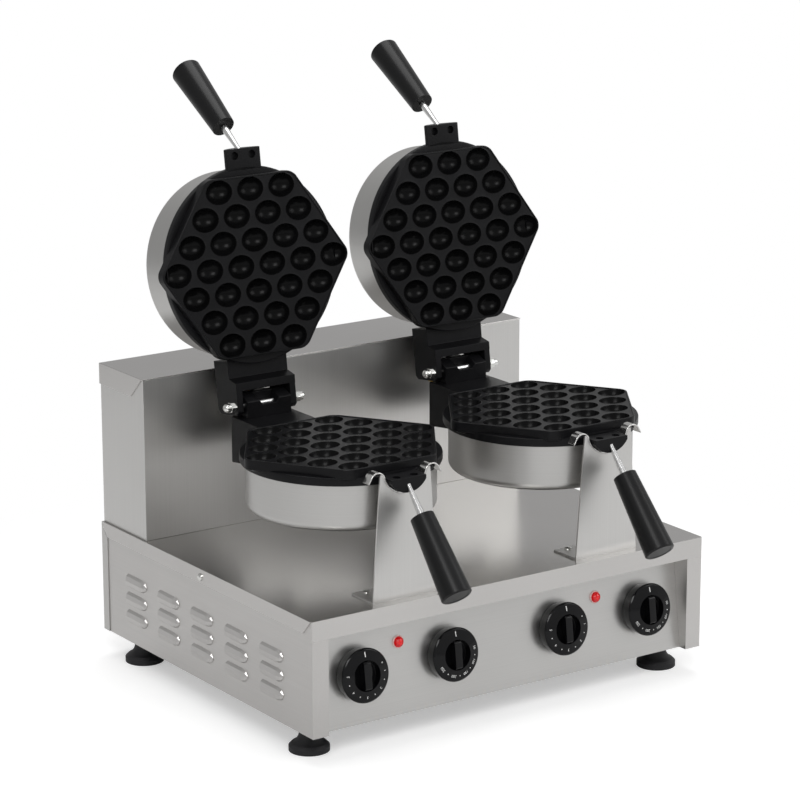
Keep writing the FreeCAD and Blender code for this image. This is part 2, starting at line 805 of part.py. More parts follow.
def strip_edges(offset):
    """One face of the bent strip, from under the axis to the ear's tip, as three edges."""
    toward = math.atan2(EAR_CURL_DROP, EAR_CURL_X)
    meet = math.pi - toward
    past = math.radians(90 - EAR_CURL_TURN)
    cradle = STRIP_MIDDLE - offset
    ear = EAR_CURL_RADIUS + offset

    def at(x, z, radius, turn):
        return V(x + radius * math.cos(turn), 0, z + radius * math.sin(turn))

    bottom = V(0, 0, -cradle)
    flank = at(0, 0, cradle, -(math.pi / 2 + toward) / 2)
    joint = at(0, 0, cradle, -toward)
    crown = at(EAR_CURL_X, -EAR_CURL_DROP, ear, (meet + past) / 2)
    end = at(EAR_CURL_X, -EAR_CURL_DROP, ear, past)
    tip = end + V(math.sin(past), 0, -math.cos(past)) * EAR_TIP_LENGTH
    edges = [
        Part.Arc(bottom, flank, joint).toShape(),
        Part.Arc(joint, crown, end).toShape(),
        Part.makeLine(end, tip),
    ]
    return bottom, edges, tip


def strip_outline(half_thickness):
    """Half of the bent strip's section: a U under the journal and a curled ear."""
    upper_start, upper, upper_tip = strip_edges(half_thickness)
    lower_start, lower, lower_tip = strip_edges(-half_thickness)
    ends = [Part.makeLine(upper_tip, lower_tip), Part.makeLine(lower_start, upper_start)]
    return Part.Face(Part.Wire(Part.__sortEdges__(upper + lower + ends)))


def strip_solid(half_thickness, y0, y1):
    """The bent strip as a solid about the turning axis at x = 0."""
    half = strip_outline(half_thickness).extrude(V(0, y1 - y0, 0))
    half.translate(V(0, y0, AXIS_Z))
    return half.fuse(other_side(half)).removeSplitter()


def saddle_strip():
    """Polished strip that cradles the journal."""
    return strip_solid(STRIP_SHEET / 2, BRACKET_FRONT, BRACKET_FRONT + STRIP_WIDTH)


def saddle_bracket():
    """Tapering front plate with a foot folded back onto the worktop."""
    top = AXIS_Z - BRACKET_TOP_DROP
    outline = [
        (-BRACKET_FOOT_HALF_WIDTH, TOP_Z),
        (BRACKET_FOOT_HALF_WIDTH, TOP_Z),
        (BRACKET_TOP_HALF_WIDTH, top),
        (-BRACKET_TOP_HALF_WIDTH, top),
    ]
    back = BRACKET_FRONT + BRACKET_SHEET
    plate = xz_prism(outline, BRACKET_FRONT, back)
    foot_plate = block(
        -BRACKET_FOOT_HALF_WIDTH,
        BRACKET_FOOT_HALF_WIDTH,
        BRACKET_FRONT,
        BRACKET_FRONT + BRACKET_FOOT_LENGTH,
        TOP_Z,
        TOP_Z + BRACKET_SHEET,
    )
    bowl = Part.makeCylinder(
        JOURNAL_SEAT + STRIP_SHEET + WELD_GAP,
        BRACKET_SHEET + 2 * OVERRUN,
        V(0, BRACKET_FRONT - OVERRUN, AXIS_Z),
        V(0, 1, 0),
    )
    curl = strip_solid(STRIP_SHEET / 2 + WELD_GAP, BRACKET_FRONT - OVERRUN, back + OVERRUN)
    cuts = [bowl, curl]
    for hand in (-1, 1):
        start = V(hand * BRACKET_SCREW_X, BRACKET_SCREW_Y, TOP_Z - OVERRUN)
        cuts.append(screw_hole(start, V(0, 0, 1), BRACKET_SHEET + 2 * OVERRUN))
    bracket = plate.fuse(foot_plate).removeSplitter()
    for tool in cuts:
        bracket = bracket.cut(tool)
    return bracket


def screw(grip):
    """Pan-head screw about Z, with its head's seat at z = 0 and its shank below."""
    head = SCREW_HEAD_RADIUS
    return turned(
        [
            (0, -grip - SCREW_DEPTH),
            (SCREW_RADIUS, -grip - SCREW_DEPTH),
            (SCREW_RADIUS, 0),
            (head, 0),
            (head, SCREW_HEAD_HEIGHT / 2),
            (head / 2, SCREW_HEAD_HEIGHT),
            (0, SCREW_HEAD_HEIGHT),
        ]
    )


def bracket_screws():
    """Screws through the bracket feet and the worktop."""
    seat = TOP_Z + BRACKET_SHEET
    grip = BRACKET_SHEET + SHEET
    return Part.Compound([moved(screw(grip), x, y, seat) for x, y in bracket_screw_places()])


def flap_screws():
    """One screw through each side flap of the worktop."""
    height = TOP_Z - FLAP_SCREW_DROP
    return Part.Compound(
        [
            along(screw(2 * SHEET), V(side * HALF_WIDTH, FLAP_SCREW_Y, height), V(side, 0, 0))
            for side in (-1, 1)
        ]
    )


# Irons. Each half is built with the pan's centre at x = 0, y = 0 and the parting plane at
# z = 0, as the lower one lies: the hinge is toward +Y and the casting's back toward -Z.

def hexagon_plate(inset, z0, z1):
    """Prism over the rounded hexagon of the baking face, drawn in by an inset."""
    slant = math.hypot(HEX_POINT - HEX_SHOULDER, HEX_FLAT)
    across = HEX_FLAT / slant
    drop = (HEX_POINT - HEX_SHOULDER) / slant
    point = HEX_POINT - inset / across
    flat = HEX_FLAT - inset
    shoulder = (across * HEX_POINT - inset - drop * flat) / across
    outline = [
        (point, 0),
        (shoulder, flat),
        (-shoulder, flat),
        (-point, 0),
        (-shoulder, -flat),
        (shoulder, -flat),
    ]
    prism = xy_prism(outline, z0, z1)
    upright = [edge for edge in prism.Edges if abs(edge.tangentAt(edge.FirstParameter).z) > 0.5]
    return prism.makeFillet(HEX_CORNER - inset, upright)


def cavity_ring(centre_x, centre_y, size, z):
    """One oval ring of an egg cavity."""
    points = []
    for side in range(CAVITY_SIDES):
        turn = 2 * math.pi * side / CAVITY_SIDES
        x = centre_x + size * CAVITY_LENGTH / 2 * math.cos(turn)
        y = centre_y + size * CAVITY_WIDTH / 2 * math.sin(turn)
        points.append(V(x, y, z))
    return Part.makePolygon(points + points[:1])


def cavity(centre_x, centre_y):
    """One egg-shaped cavity as a tool that sinks below the web between the eggs."""
    rings = [cavity_ring(centre_x, centre_y, 1.0, WEB_FACE + OVERRUN)]
    for size, depth in zip(CAVITY_SIZE_SHARES, CAVITY_DEPTH_SHARES):
        rings.append(cavity_ring(centre_x, centre_y, size, WEB_FACE - depth * CAVITY_DEPTH))
    return Part.makeLoft(rings, True, True)


def cavities():
    """All the cavities of one face, in rows across the pan."""
    tools = []
    middle_row = (len(CAVITY_ROWS) - 1) / 2
    for row, count in enumerate(CAVITY_ROWS):
        y = (row - middle_row) * CAVITY_ROW_PITCH
        for place in range(count):
            x = (place - (count - 1) / 2) * CAVITY_PITCH
            tools.append(cavity(x, y))
    return tools


def baking_plate():
    """Round flange, raised hexagon with its rim, front lug and the egg cavities."""
    flange = Part.makeCylinder(FLANGE_RADIUS, FLANGE_THICKNESS, V(0, 0, CASTING_BACK))
    raised = hexagon_plate(0, FLANGE_FACE, RIM_FACE)
    journal = Part.makeCylinder(
        JOURNAL_RADIUS, LUG_END - JOURNAL_BACK, V(0, -LUG_END, 0), V(0, 1, 0)
    )
    keep = block(
        -LUG_HALF_WIDTH,
        LUG_HALF_WIDTH,
        -LUG_END - OVERRUN,
        -JOURNAL_BACK + OVERRUN,
        -JOURNAL_RADIUS - OVERRUN,
        FLANGE_FACE,
    )
    plate = flange.multiFuse([raised, journal.common(keep)])
    recess = hexagon_plate(RIM_WIDTH, WEB_FACE, RIM_FACE + OVERRUN)
    cuts = [recess] + [
        Part.makeCylinder(
            LUG_HOLE_RADIUS,
            LUG_HOLE_DEPTH + OVERRUN,
            V(hand * LUG_HOLE_X, LUG_HOLE_FROM_END - LUG_END, FLANGE_FACE - LUG_HOLE_DEPTH),
        )
        for hand in (-1, 1)
    ]
    rod_hole = Part.makeCylinder(
        ROD_RADIUS + ROD_CLEARANCE, ROD_IN_LUG + ROD_COLLAR_START, V(0, 0, -ROD_IN_LUG)
    )
    cuts.append(handle_place(rod_hole))
    for tool in cuts:
        plate = plate.cut(tool)
    return plate


def hinge_block():
    """Block behind the lower casting, with the knuckle that the pin runs through."""
    body = yz_prism(
        [
            (BLOCK_FRONT, FLANGE_FACE - BLOCK_STEP),
            (BLOCK_FRONT, -BLOCK_TOE_DROP),
            (BLOCK_HEEL, -BLOCK_HEEL_DROP),
            (BLOCK_BACK, -BLOCK_DROP),
            (BLOCK_BACK, FLANGE_FACE - BLOCK_STEP),
        ],
        -BLOCK_HALF_WIDTH,
        BLOCK_HALF_WIDTH,
    )
    shoulder = xy_prism(
        [
            (-BLOCK_HALF_WIDTH, HEX_FLAT - OVERRUN),
            (BLOCK_HALF_WIDTH, HEX_FLAT - OVERRUN),
            (BLOCK_HALF_WIDTH, NECK_START),
            (NECK_HALF_WIDTH, NECK_END),
            (NECK_HALF_WIDTH, BLOCK_BACK),
            (-NECK_HALF_WIDTH, BLOCK_BACK),
            (-NECK_HALF_WIDTH, NECK_END),
            (-BLOCK_HALF_WIDTH, NECK_START),
        ],
        FLANGE_FACE - BLOCK_STEP,
        FLANGE_FACE,
    )
    knuckle = yz_prism(
        [
            (KNUCKLE_FRONT, FLANGE_FACE),
            (BLOCK_BACK, FLANGE_FACE),
            (BLOCK_BACK, KNUCKLE_RISE - KNUCKLE_ROUND),
            (BLOCK_BACK - KNUCKLE_ROUND, KNUCKLE_RISE),
            (KNUCKLE_FRONT + KNUCKLE_ROUND, KNUCKLE_RISE),
            (KNUCKLE_FRONT, KNUCKLE_RISE - KNUCKLE_ROUND),
        ],
        -KNUCKLE_HALF_WIDTH,
        KNUCKLE_HALF_WIDTH,
    )
    return [body, shoulder, knuckle]


def knuckle_cuts():
    """The notch that shows the pin and the pin's running bore."""
    notch = xz_prism(
        [
            (-NOTCH_FLOOR_WIDTH / 2, NOTCH_FLOOR_RISE),
            (NOTCH_FLOOR_WIDTH / 2, NOTCH_FLOOR_RISE),
            (NOTCH_TOP_WIDTH / 2, KNUCKLE_RISE + OVERRUN),
            (-NOTCH_TOP_WIDTH / 2, KNUCKLE_RISE + OVERRUN),
        ],
        KNUCKLE_FRONT - OVERRUN,
        BLOCK_BACK + OVERRUN,
    )
    bore = Part.makeCylinder(
        PIN_RADIUS + PIN_CLEARANCE,
        2 * (KNUCKLE_HALF_WIDTH + OVERRUN),
        V(-KNUCKLE_HALF_WIDTH - OVERRUN, PIN_BACK, PIN_RISE),
        V(1, 0, 0),
    )
    return [notch, bore]


def lower_plate():
    """Lower casting: baking plate, hinge block and knuckle."""
    casting = baking_plate().multiFuse(hinge_block()).removeSplitter()
    for tool in knuckle_cuts() + [Part.Compound(cavities())]:
        casting = casting.cut(tool)
    return casting


def hinge_arm():
    """Arm, crossbar and two ears behind the upper casting, drawn as it lies turned over."""
    arm = yz_prism(
        [
            (HEX_FLAT, -ARM_FACE_RISE),
            (ARM_BACK, -ARM_FACE_RISE),
            (ARM_BACK, -ARM_TOP_RISE),
            (ARM_FRONT + ARM_TOP_SETBACK, -ARM_TOP_RISE),
            (ARM_FRONT, ARM_TOP_SETBACK - ARM_TOP_RISE),
            (ARM_FRONT, CASTING_BACK),
            (HEX_FLAT, CASTING_BACK),
        ],
        -EAR_OUTER,
        EAR_OUTER,
    )
    crossbar = yz_prism(
        [
            (ARM_BACK - OVERRUN, -EAR_FRONT_RISE),
            (CROSSBAR_BACK, -EAR_FRONT_RISE),
            (CROSSBAR_BACK, -ARM_FACE_RISE),
            (ARM_BACK - OVERRUN, -ARM_FACE_RISE),
        ],
        -EAR_OUTER,
        EAR_OUTER,
    )
    ears = []
    for hand in (-1, 1):
        inner, outer = sorted((hand * EAR_INNER, hand * EAR_OUTER))
        cheek = yz_prism(
            [
                (ARM_BACK - OVERRUN, -EAR_FRONT_RISE),
                (PIN_BACK, -EAR_FRONT_RISE),
                (PIN_BACK, -PIN_RISE - EAR_RADIUS),
                (ARM_BACK, -ARM_TOP_RISE),
                (ARM_BACK - OVERRUN, -ARM_TOP_RISE),
            ],
            inner,
            outer,
        )
        eye = Part.makeCylinder(
            EAR_RADIUS, outer - inner, V(inner, PIN_BACK, -PIN_RISE), V(1, 0, 0)
        )
        ears += [cheek, eye]
    return [arm, crossbar] + ears


def upper_plate():
    """Upper casting, drawn as it lies turned over beside the lower one."""
    casting = baking_plate().multiFuse(hinge_arm()).removeSplitter()
    bore = Part.makeCylinder(
        PIN_RADIUS + PIN_CLEARANCE,
        2 * (EAR_OUTER + OVERRUN),
        V(-EAR_OUTER - OVERRUN, PIN_BACK, -PIN_RISE),
        V(1, 0, 0),
    )
    for tool in [bore, Part.Compound(cavities())]:
        casting = casting.cut(tool)
    return casting


def cup():
    """Steel cup with a rounded bottom edge, open toward the casting."""
    floor = CASTING_BACK - CUP_HEIGHT

    def section(radius, bottom, edge):
        turn = math.radians(45)
        start = V(radius, 0, bottom + edge)
        end = V(radius - edge, 0, bottom)
        middle = V(
            radius - edge + edge * math.cos(turn), 0, bottom + edge - edge * math.sin(turn)
        )
        return start, Part.Arc(start, middle, end).toShape(), end

    outer_start, outer_arc, outer_end = section(CUP_RADIUS, floor, CUP_EDGE)
    inner_start, inner_arc, inner_end = section(
        CUP_RADIUS - CUP_SHEET, floor + CUP_SHEET, CUP_EDGE - CUP_SHEET
    )
    outer_top = V(CUP_RADIUS, 0, CASTING_BACK)
    inner_top = V(CUP_RADIUS - CUP_SHEET, 0, CASTING_BACK)
    outer_middle = V(0, 0, floor)
    inner_middle = V(0, 0, floor + CUP_SHEET)
    edges = [
        Part.makeLine(outer_top, outer_start),
        outer_arc,
        Part.makeLine(outer_end, outer_middle),
        Part.makeLine(outer_middle, inner_middle),
        Part.makeLine(inner_middle, inner_end),
        inner_arc,
        Part.makeLine(inner_start, inner_top),
        Part.makeLine(inner_top, outer_top),
    ]
    return turned_edges(edges)


def heater():
    """Flat heating ring against the casting's back, open where its two pins leave."""
    top = CASTING_BACK - HEATER_GAP
    floor = top - HEATER_HEIGHT
    ring = turned(
        [
            (HEATER_RADIUS - HEATER_WIDTH / 2, floor),
            (HEATER_RADIUS + HEATER_WIDTH / 2, floor),
            (HEATER_RADIUS + HEATER_WIDTH / 2, top),
            (HEATER_RADIUS - HEATER_WIDTH / 2, top),
        ]
    )
    gap = block(
        -HEATER_OPENING / 2,
        HEATER_OPENING / 2,
        0,
        HEATER_RADIUS + HEATER_WIDTH,
        floor - OVERRUN,
        top + OVERRUN,
    )
    pin_x = HEATER_OPENING / 2 + HEATER_WIDTH / 2
    pin_y = math.sqrt(HEATER_RADIUS**2 - pin_x**2)
    pins = [
        Part.makeCylinder(
            HEATER_PIN_RADIUS, HEATER_PIN_LENGTH, V(hand * pin_x, pin_y, floor - HEATER_PIN_LENGTH)
        )
        for hand in (-1, 1)
    ]
    return ring.cut(gap).multiFuse(pins)


def handle_place(shape):
    """Stand a shape made about Z at the lug's end, with +Z along the handle."""
    slope = math.radians(HANDLE_SLOPE)
    root = V(0, -LUG_END, -HANDLE_ROOT_DROP)
    return along(shape, root, V(0, -math.cos(slope), -math.sin(slope)))


def handle_rod():
    """Chrome rod that thickens toward the grip, with a small collar near the lug."""
    collar_end = ROD_COLLAR_START + ROD_COLLAR_LENGTH
    rod = turned(
        [
            (0, ROD_CLEARANCE - ROD_IN_LUG),
            (ROD_RADIUS, ROD_CLEARANCE - ROD_IN_LUG),
            (ROD_RADIUS, ROD_COLLAR_START),
            (ROD_COLLAR_RADIUS, ROD_COLLAR_START),
            (ROD_COLLAR_RADIUS, collar_end),
            (ROD_RADIUS, collar_end),
            (ROD_GRIP_RADIUS, ROD_VISIBLE),
            (ROD_GRIP_RADIUS, ROD_VISIBLE + ROD_IN_GRIP - ROD_CLEARANCE),
            (0, ROD_VISIBLE + ROD_IN_GRIP - ROD_CLEARANCE),
        ]
    )
    return handle_place(rod)


def handle_grip():
    """Black tapered grip with rounded ends and a blind bore for the rod."""
    start = ROD_VISIBLE
    end = start + GRIP_LENGTH
    bore = ROD_GRIP_RADIUS + ROD_CLEARANCE
    bore_end = start + ROD_IN_GRIP
    turn = math.radians(45)
    slip = GRIP_EDGE * math.sin(turn)

    def rounded(radius, height, toward):
        near = V(radius - GRIP_EDGE, 0, height)
        far = V(radius, 0, height + toward * GRIP_EDGE)
        middle = V(
            radius - GRIP_EDGE + slip, 0, height + toward * (GRIP_EDGE - slip)
        )
        return near, Part.Arc(near, middle, far).toShape(), far

    near_in, near_arc, near_out = rounded(GRIP_NEAR_RADIUS, start, 1)
    far_in, far_arc, far_out = rounded(GRIP_FAR_RADIUS, end, -1)
    bore_mouth = V(bore, 0, start)
    bore_corner = V(bore, 0, bore_end)
    edges = [
        Part.makeLine(bore_mouth, near_in),
        near_arc,
        Part.makeLine(near_out, far_out),
        far_arc,
        Part.makeLine(far_in, V(0, 0, end)),
        Part.makeLine(V(0, 0, end), V(0, 0, bore_end)),
        Part.makeLine(V(0, 0, bore_end), bore_corner),
        Part.makeLine(bore_corner, bore_mouth),
    ]
    return handle_place(turned_edges(edges))


def hinge_pin():
    """Pin through both ears and the knuckle, as it lies in the upper half's own place."""
    half = EAR_OUTER + ACORN_BORE_DEPTH - ROD_CLEARANCE
    return Part.makeCylinder(PIN_RADIUS, 2 * half, V(-half, PIN_BACK, -PIN_RISE), V(1, 0, 0))


def acorn_nut():
    """Domed nut about Z, with its seat at z = 0 and a blind bore."""
    nut = xy_prism(hexagon(ACORN_HEX_RADIUS), 0, ACORN_HEX_LENGTH)
    dome = Part.makeSphere(
        ACORN_DOME_RADIUS, V(0, 0, ACORN_HEX_LENGTH), V(0, 0, 1), 0, 90, 360
    )
    bore = Part.makeCylinder(PIN_RADIUS + PIN_CLEARANCE, ACORN_BORE_DEPTH)
    return nut.fuse(dome).cut(bore)


def acorn_nuts():
    """The two nuts on the ears' outer faces."""
    return Part.Compound(
        [
            along(acorn_nut(), V(side * EAR_OUTER, PIN_BACK, -PIN_RISE), V(side, 0, 0))
            for side in (-1, 1)
        ]
    )


def shaft():
    """Hollow shaft about the turning axis, with its flange on the hinge block."""
    start = PAN_Y + BLOCK_BACK
    tube = turned(
        [
            (SHAFT_BORE_RADIUS, start),
            (SHAFT_FLANGE_RADIUS, start),
            (SHAFT_FLANGE_RADIUS, start + SHAFT_FLANGE),
            (SHAFT_RADIUS, start + SHAFT_FLANGE),
            (SHAFT_RADIUS, SHAFT_END),
            (SHAFT_BORE_RADIUS, SHAFT_END),
        ]
    )
    return along(tube, V(0, 0, AXIS_Z), V(0, 1, 0))


def bearing():
    """Flanged bearing on the inner face of the housing's front wall."""
    start = HOUSING_FRONT + SHEET
    bore = SHAFT_RADIUS + RUNNING_FIT
    ring = turned(
        [
            (bore, start),
            (BEARING_FLANGE_RADIUS, start),
            (BEARING_FLANGE_RADIUS, start + BEARING_FLANGE),
            (BEARING_HUB_RADIUS, start + BEARING_FLANGE),
            (BEARING_HUB_RADIUS, start + BEARING_LENGTH),
            (bore, start + BEARING_LENGTH),
        ]
    )
    return along(ring, V(0, 0, AXIS_Z), V(0, 1, 0))


def shaft_collar():
    """Retaining collar on the shaft behind its bearing."""
    start = HOUSING_FRONT + SHEET + BEARING_LENGTH + COLLAR_GAP
    bore = SHAFT_RADIUS + RUNNING_FIT
    ring = turned(
        [
            (bore, start),
            (COLLAR_RADIUS, start),
            (COLLAR_RADIUS, start + COLLAR_LENGTH),
            (bore, start + COLLAR_LENGTH),
        ]
    )
    return along(ring, V(0, 0, AXIS_Z), V(0, 1, 0))


def in_lower_half(shape, pan_x):
    """Put a piece of the lower half in its place on the machine."""
    return moved(shape, pan_x, PAN_Y, AXIS_Z)


def in_upper_half(shape, pan_x):
    """Turn a piece of the upper half over onto the lower one, then open it at the pin."""
    placed = shape.copy()
    placed.rotate(V(0, 0, 0), V(0, 1, 0), 180)
    placed.rotate(V(0, PIN_BACK, PIN_RISE), V(1, 0, 0), -LID_OPEN_ANGLE)
    placed.translate(V(pan_x, PAN_Y, AXIS_Z))
    return placed


def machine():
    """Every piece of the machine, by name."""
    left_panel = left_side_panel()
    nodes = {
        "worktop": worktop(),
        "left_side_panel": left_panel,
        "right_side_panel": other_side(left_panel),
        "rear_panel": rear_panel(),
        "bottom_cover": bottom_cover(),
        "feet": feet(),
        "foot_studs": foot_studs(),
        "control_panel": control_panel(),
        "timers": Part.Compound([on_panel(timer(), KNOB_X[i], CONTROL_HEIGHT) for i in (0, 2)]),
        "thermostats": Part.Compound(
            [on_panel(thermostat(), KNOB_X[i], CONTROL_HEIGHT) for i in (1, 3)]
        ),
        "lamp_lenses": Part.Compound([on_panel(lamp_lens(), x, LAMP_HEIGHT) for x in LAMP_X]),
        "lamp_bodies": Part.Compound([on_panel(lamp_body(), x, LAMP_HEIGHT) for x in LAMP_X]),
        "rear_housing": rear_housing(),
        "rear_housing_lid": rear_housing_lid(),
        "terminal_block": terminal_block(),
        "cable_gland": cable_gland(),
        "bracket_screws": bracket_screws(),
        "flap_screws": flap_screws(),
    }
    for name, x in zip(KNOB_NAMES, KNOB_X):
        nodes[name + "_knob"] = on_panel(knob(), x, CONTROL_HEIGHT)
        nodes[name + "_spindle"] = on_panel(spindle(), x, CONTROL_HEIGHT)
    standing = {
        "saddle_bracket": saddle_bracket(),
        "saddle_strip": saddle_strip(),
        "shaft": shaft(),
        "shaft_bearing": bearing(),
        "shaft_collar": shaft_collar(),
    }
    lower_pieces = {
        "lower_plate": lower_plate(),
        "lower_cup": cup(),
        "lower_heater": heater(),
        "lower_rod": handle_rod(),
        "lower_grip": handle_grip(),
    }
    upper_pieces = {
        "upper_plate": upper_plate(),
        "upper_cup": lower_pieces["lower_cup"],
        "upper_heater": lower_pieces["lower_heater"],
        "upper_rod": lower_pieces["lower_rod"],
        "upper_grip": lower_pieces["lower_grip"],
        "hinge_pin": hinge_pin(),
        "acorn_nuts": acorn_nuts(),
    }
    for side, pan_x in (("left", -PAN_X), ("right", PAN_X)):
        for name, shape in standing.items():
            nodes[side + "_" + name] = moved(shape, pan_x, 0, 0)
        for name, shape in lower_pieces.items():
            nodes[side + "_" + name] = in_lower_half(shape, pan_x)
        for name, shape in upper_pieces.items():
            nodes[side + "_" + name] = in_upper_half(shape, pan_x)
    return nodes


def depth_middle(nodes):
    """Middle of the machine's whole depth, handles included."""
    boxes = [shape.optimalBoundingBox(False, False) for shape in nodes.values()]
    return (min(box.YMin for box in boxes) + max(box.YMax for box in boxes)) / 2


NODES = machine()
ORIGIN_Y = depth_middle(NODES)
os.makedirs("parts", exist_ok=True)
for node_name, node_shape in NODES.items():
    node_shape.translate(V(0, -ORIGIN_Y, 0))
    node_shape.exportStep("parts/" + node_name + ".step")
print(len(NODES), "pieces, depth middle at", round(ORIGIN_Y, 3))
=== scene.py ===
import json
import logging
import math
from dataclasses import dataclass
from enum import Enum

import bmesh
import bpy
from mathutils import Matrix, Vector


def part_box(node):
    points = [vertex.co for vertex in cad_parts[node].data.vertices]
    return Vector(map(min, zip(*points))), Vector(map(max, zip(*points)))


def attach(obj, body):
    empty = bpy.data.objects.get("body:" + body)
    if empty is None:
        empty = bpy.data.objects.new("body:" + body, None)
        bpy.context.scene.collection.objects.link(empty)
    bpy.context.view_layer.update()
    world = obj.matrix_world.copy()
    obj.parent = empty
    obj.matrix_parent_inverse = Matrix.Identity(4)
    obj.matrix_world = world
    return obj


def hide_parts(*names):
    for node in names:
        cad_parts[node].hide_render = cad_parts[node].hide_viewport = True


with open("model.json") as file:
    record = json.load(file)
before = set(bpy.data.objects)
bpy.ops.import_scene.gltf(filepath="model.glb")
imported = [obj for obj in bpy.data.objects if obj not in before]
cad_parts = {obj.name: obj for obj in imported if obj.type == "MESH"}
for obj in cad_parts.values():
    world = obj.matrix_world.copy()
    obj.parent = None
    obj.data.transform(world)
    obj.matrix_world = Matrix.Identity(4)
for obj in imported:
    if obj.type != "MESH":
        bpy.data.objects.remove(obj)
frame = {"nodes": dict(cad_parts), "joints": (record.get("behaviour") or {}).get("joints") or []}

# Double egg-waffle machine in metres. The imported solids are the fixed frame: sheet pieces,
# castings, knobs, grips, rods and nuts get finer pieces in the same places, and the rest of
# the solids are dressed as they are.

Mesh = bmesh.types.BMesh
Tree = bpy.types.NodeTree
Node = bpy.types.Node
Socket = bpy.types.NodeSocket
Points = list[tuple[float, float]]

MM = 0.001
# Corners nearer than NEAR are one, and a cut that is nearer to a corner than TOUCH goes
# through it.
NEAR = 0.001 * MM
TOUCH = 0.0001 * MM
# Faces of a turned body that meet flatter than this, in degrees, are one curve.
TURNED_EDGE = 24.0
# A face whose normal points up by more than LEVEL is flat, and heights in metres that agree
# in this many digits are the same.
LEVEL = 0.999
DIGITS = 5
LOG = logging.getLogger("waffle_machine")
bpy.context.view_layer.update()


class Side(Enum):
    """The two irons, as seen by the cook in front of the machine."""

    LEFT = "left"
    RIGHT = "right"


class Half(Enum):
    """The two halves of one iron."""

    LOWER = "lower"
    UPPER = "upper"


class Grain(Enum):
    """Axis along which a sheet or a turned piece was brushed."""

    X = 0
    Y = 1
    Z = 2


def linear(colour: str) -> tuple[float, float, float, float]:
    """Turn an sRGB colour into the linear one that a shader takes.

    Args:
        colour: Six hex digits after a hash.

    Returns:
        Red, green, blue and an alpha of one.
    """
    parts = [int(colour[place : place + 2], 16) / 255 for place in (1, 3, 5)]
    red, green, blue = (
        part / 12.92 if part <= 0.04045 else ((part + 0.055) / 1.055) ** 2.4 for part in parts
    )
    return red, green, blue, 1.0


def add_node(
    tree: Tree, kind: str, settings: dict | None = None, values: dict | None = None,
    links: dict | None = None,
) -> Node:
    """Add one node to a tree.

    Args:
        tree: Node tree of a material or of the world.
        kind: Type name of the node, without ShaderNode in front.
        settings: Attributes of the node by name.
        values: Constant inputs by name or number.
        links: Output sockets that feed inputs, by name or number.

    Returns:
        The new node.
    """
    node = tree.nodes.new("ShaderNode" + kind)
    for name, value in (settings or {}).items():
        setattr(node, name, value)
    for name, value in (values or {}).items():
        node.inputs[name].default_value = value
    for name, socket in (links or {}).items():
        tree.links.new(socket, node.inputs[name])
    return node


def ramp(tree: Tree, factor: Socket, stops: list[tuple[float, str]]) -> Socket:
    """Turn a pattern into colours.

    Args:
        tree: Node tree of the material.
        factor: The pattern, from 0 to 1.
        stops: Places and sRGB colours.

    Returns:
        The colour socket.
    """
    node = add_node(tree, "ValToRGB", links={0: factor})
    stops_now = node.color_ramp.elements
    for element, (place, colour) in zip(stops_now, stops):
        element.position = place
        element.color = linear(colour)
    for place, colour in stops[2:]:
        stops_now.new(place).color = linear(colour)
    return node.outputs["Color"]


